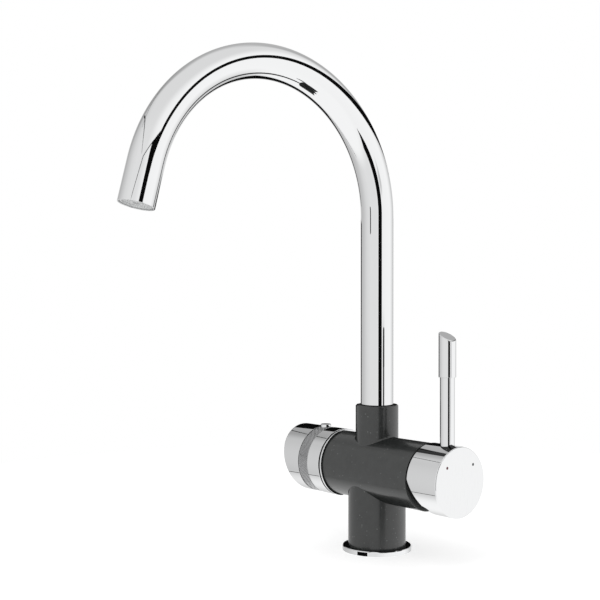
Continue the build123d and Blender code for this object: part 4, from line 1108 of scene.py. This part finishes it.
# %% [markdown]
# ## The handle cap
# A cup over the cartridge. Its rear rim is cut back on a slant from a little above the axis down,
# so that it can tilt towards the barrel. The rings are turned straight first, and then every point
# near the rear rim moves forward by as much as the slant asks at its height.

# %% The cap's cup
CAP_R = 24.5
CAP_BORE_R = 22.0
CAP_REAR = 54.3
CAP_FLOOR = 79.0
CAP_FACE = 81.97
CAP_EASE = 0.9
RELIEF_RISE = 1.5
RELIEF_SLOPE = tan(radians(25.0))
RIM_ZONE = 1.5
cap_profile = [
    (CAP_FLOOR, 0, 0), (CAP_FLOOR, CAP_BORE_R, 0), (CAP_REAR, CAP_BORE_R, 0.15),
    (CAP_REAR, CAP_R, CAP_EASE), (CAP_FACE, CAP_R, CAP_EASE), (CAP_FACE, 0, 0),
]


def relief(point):
    """Moves a point of the rear rim forward, the further the lower it lies."""
    if point.x > (CAP_REAR + RIM_ZONE) * MM:
        return point
    drop = max(0.0, BARREL_Z + RELIEF_RISE * MM - point.z)
    return Vector((point.x + drop * RELIEF_SLOPE, point.y, point.z))


cap = sleeve("handle_cup", barrel_rings(eased(cap_profile, steps=10)), sides=256, shift=relief)
dress(cap, chrome, "handle", "chrome", "handle_cap")

# %% [markdown]
# ## Hot and cold marks
# Two small enamel dots sit in the face, red for hot and dark grey for cold. A drop of enamel
# shrinks as it dries, so that its top is very slightly domed.

# %% Enamel dots
DOT_Y = 12.981
DOT_Z = 71.284
# along the barrel and radius, up the dot's wall and over its top
DOT_PROFILE = (
    (81.6, 0), (81.6, 1.0), (81.975, 1.0), (81.985, 0.92), (81.993, 0.6), (81.998, 0.3), (82.0, 0),
)


def enamel_dot(name, y, finish, slot, node):
    """A round dot with a domed top in the face of the cap."""
    rings = [
        (Vector((x * MM, y * MM, DOT_Z * MM)), Y_WAY, Z_WAY, r * MM) for x, r in DOT_PROFILE
    ]
    dress(sleeve(name, rings, sides=48), finish, "handle", slot, node)


enamel_dot("hot_dot", -DOT_Y, red_enamel, "red_mark", "hot_mark")
enamel_dot("cold_dot", DOT_Y, grey_enamel, "cold_mark_grey", "cold_mark")

# %% [markdown]
# ## The lever
# A thin rod screwed into the cap, with a thicker sleeve on its upper half. The sleeve ends in a
# slant that slopes down away from the spout, with a rounded rim. As on the knob, only the points
# near the slanted end move, and they move along the sleeve.

# %% The rod
ROD_X = 70.0
ROD_R = 5.1
ROD_FOOT = 78.0
ROD_TOP = 131.3
rod_profile = [(ROD_FOOT, 0, 0), (ROD_FOOT, ROD_R, 0), (ROD_TOP, ROD_R, 0), (ROD_TOP, 0, 0)]
rod = sleeve("lever_pin", upright_rings(eased(rod_profile), ROD_X), sides=128)
dress(rod, chrome, "handle", "chrome", "lever_rod")

# %% The grip
GRIP_R = 6.05
GRIP_TOP = 159.8
GRIP_SLOPE = tan(radians(28.0))
GRIP_SLANT_FROM = GRIP_TOP - 3.0
grip_profile = [(ROD_TOP, 0, 0), (ROD_TOP, GRIP_R, 0.25), (GRIP_TOP, GRIP_R, 0.8), (GRIP_TOP, 0, 0)]


def slant(point):
    """Moves a point of the grip's top down, the further it lies from the spout's side."""
    if point.z < GRIP_SLANT_FROM * MM:
        return point
    return Vector((point.x, point.y, point.z - (point.x - ROD_X * MM) * GRIP_SLOPE))


grip_rings = upright_rings(eased(grip_profile, steps=8), ROD_X)
grip = sleeve("lever_sleeve", grip_rings, sides=128, shift=slant)
dress(grip, chrome, "handle", "chrome", "lever_grip")
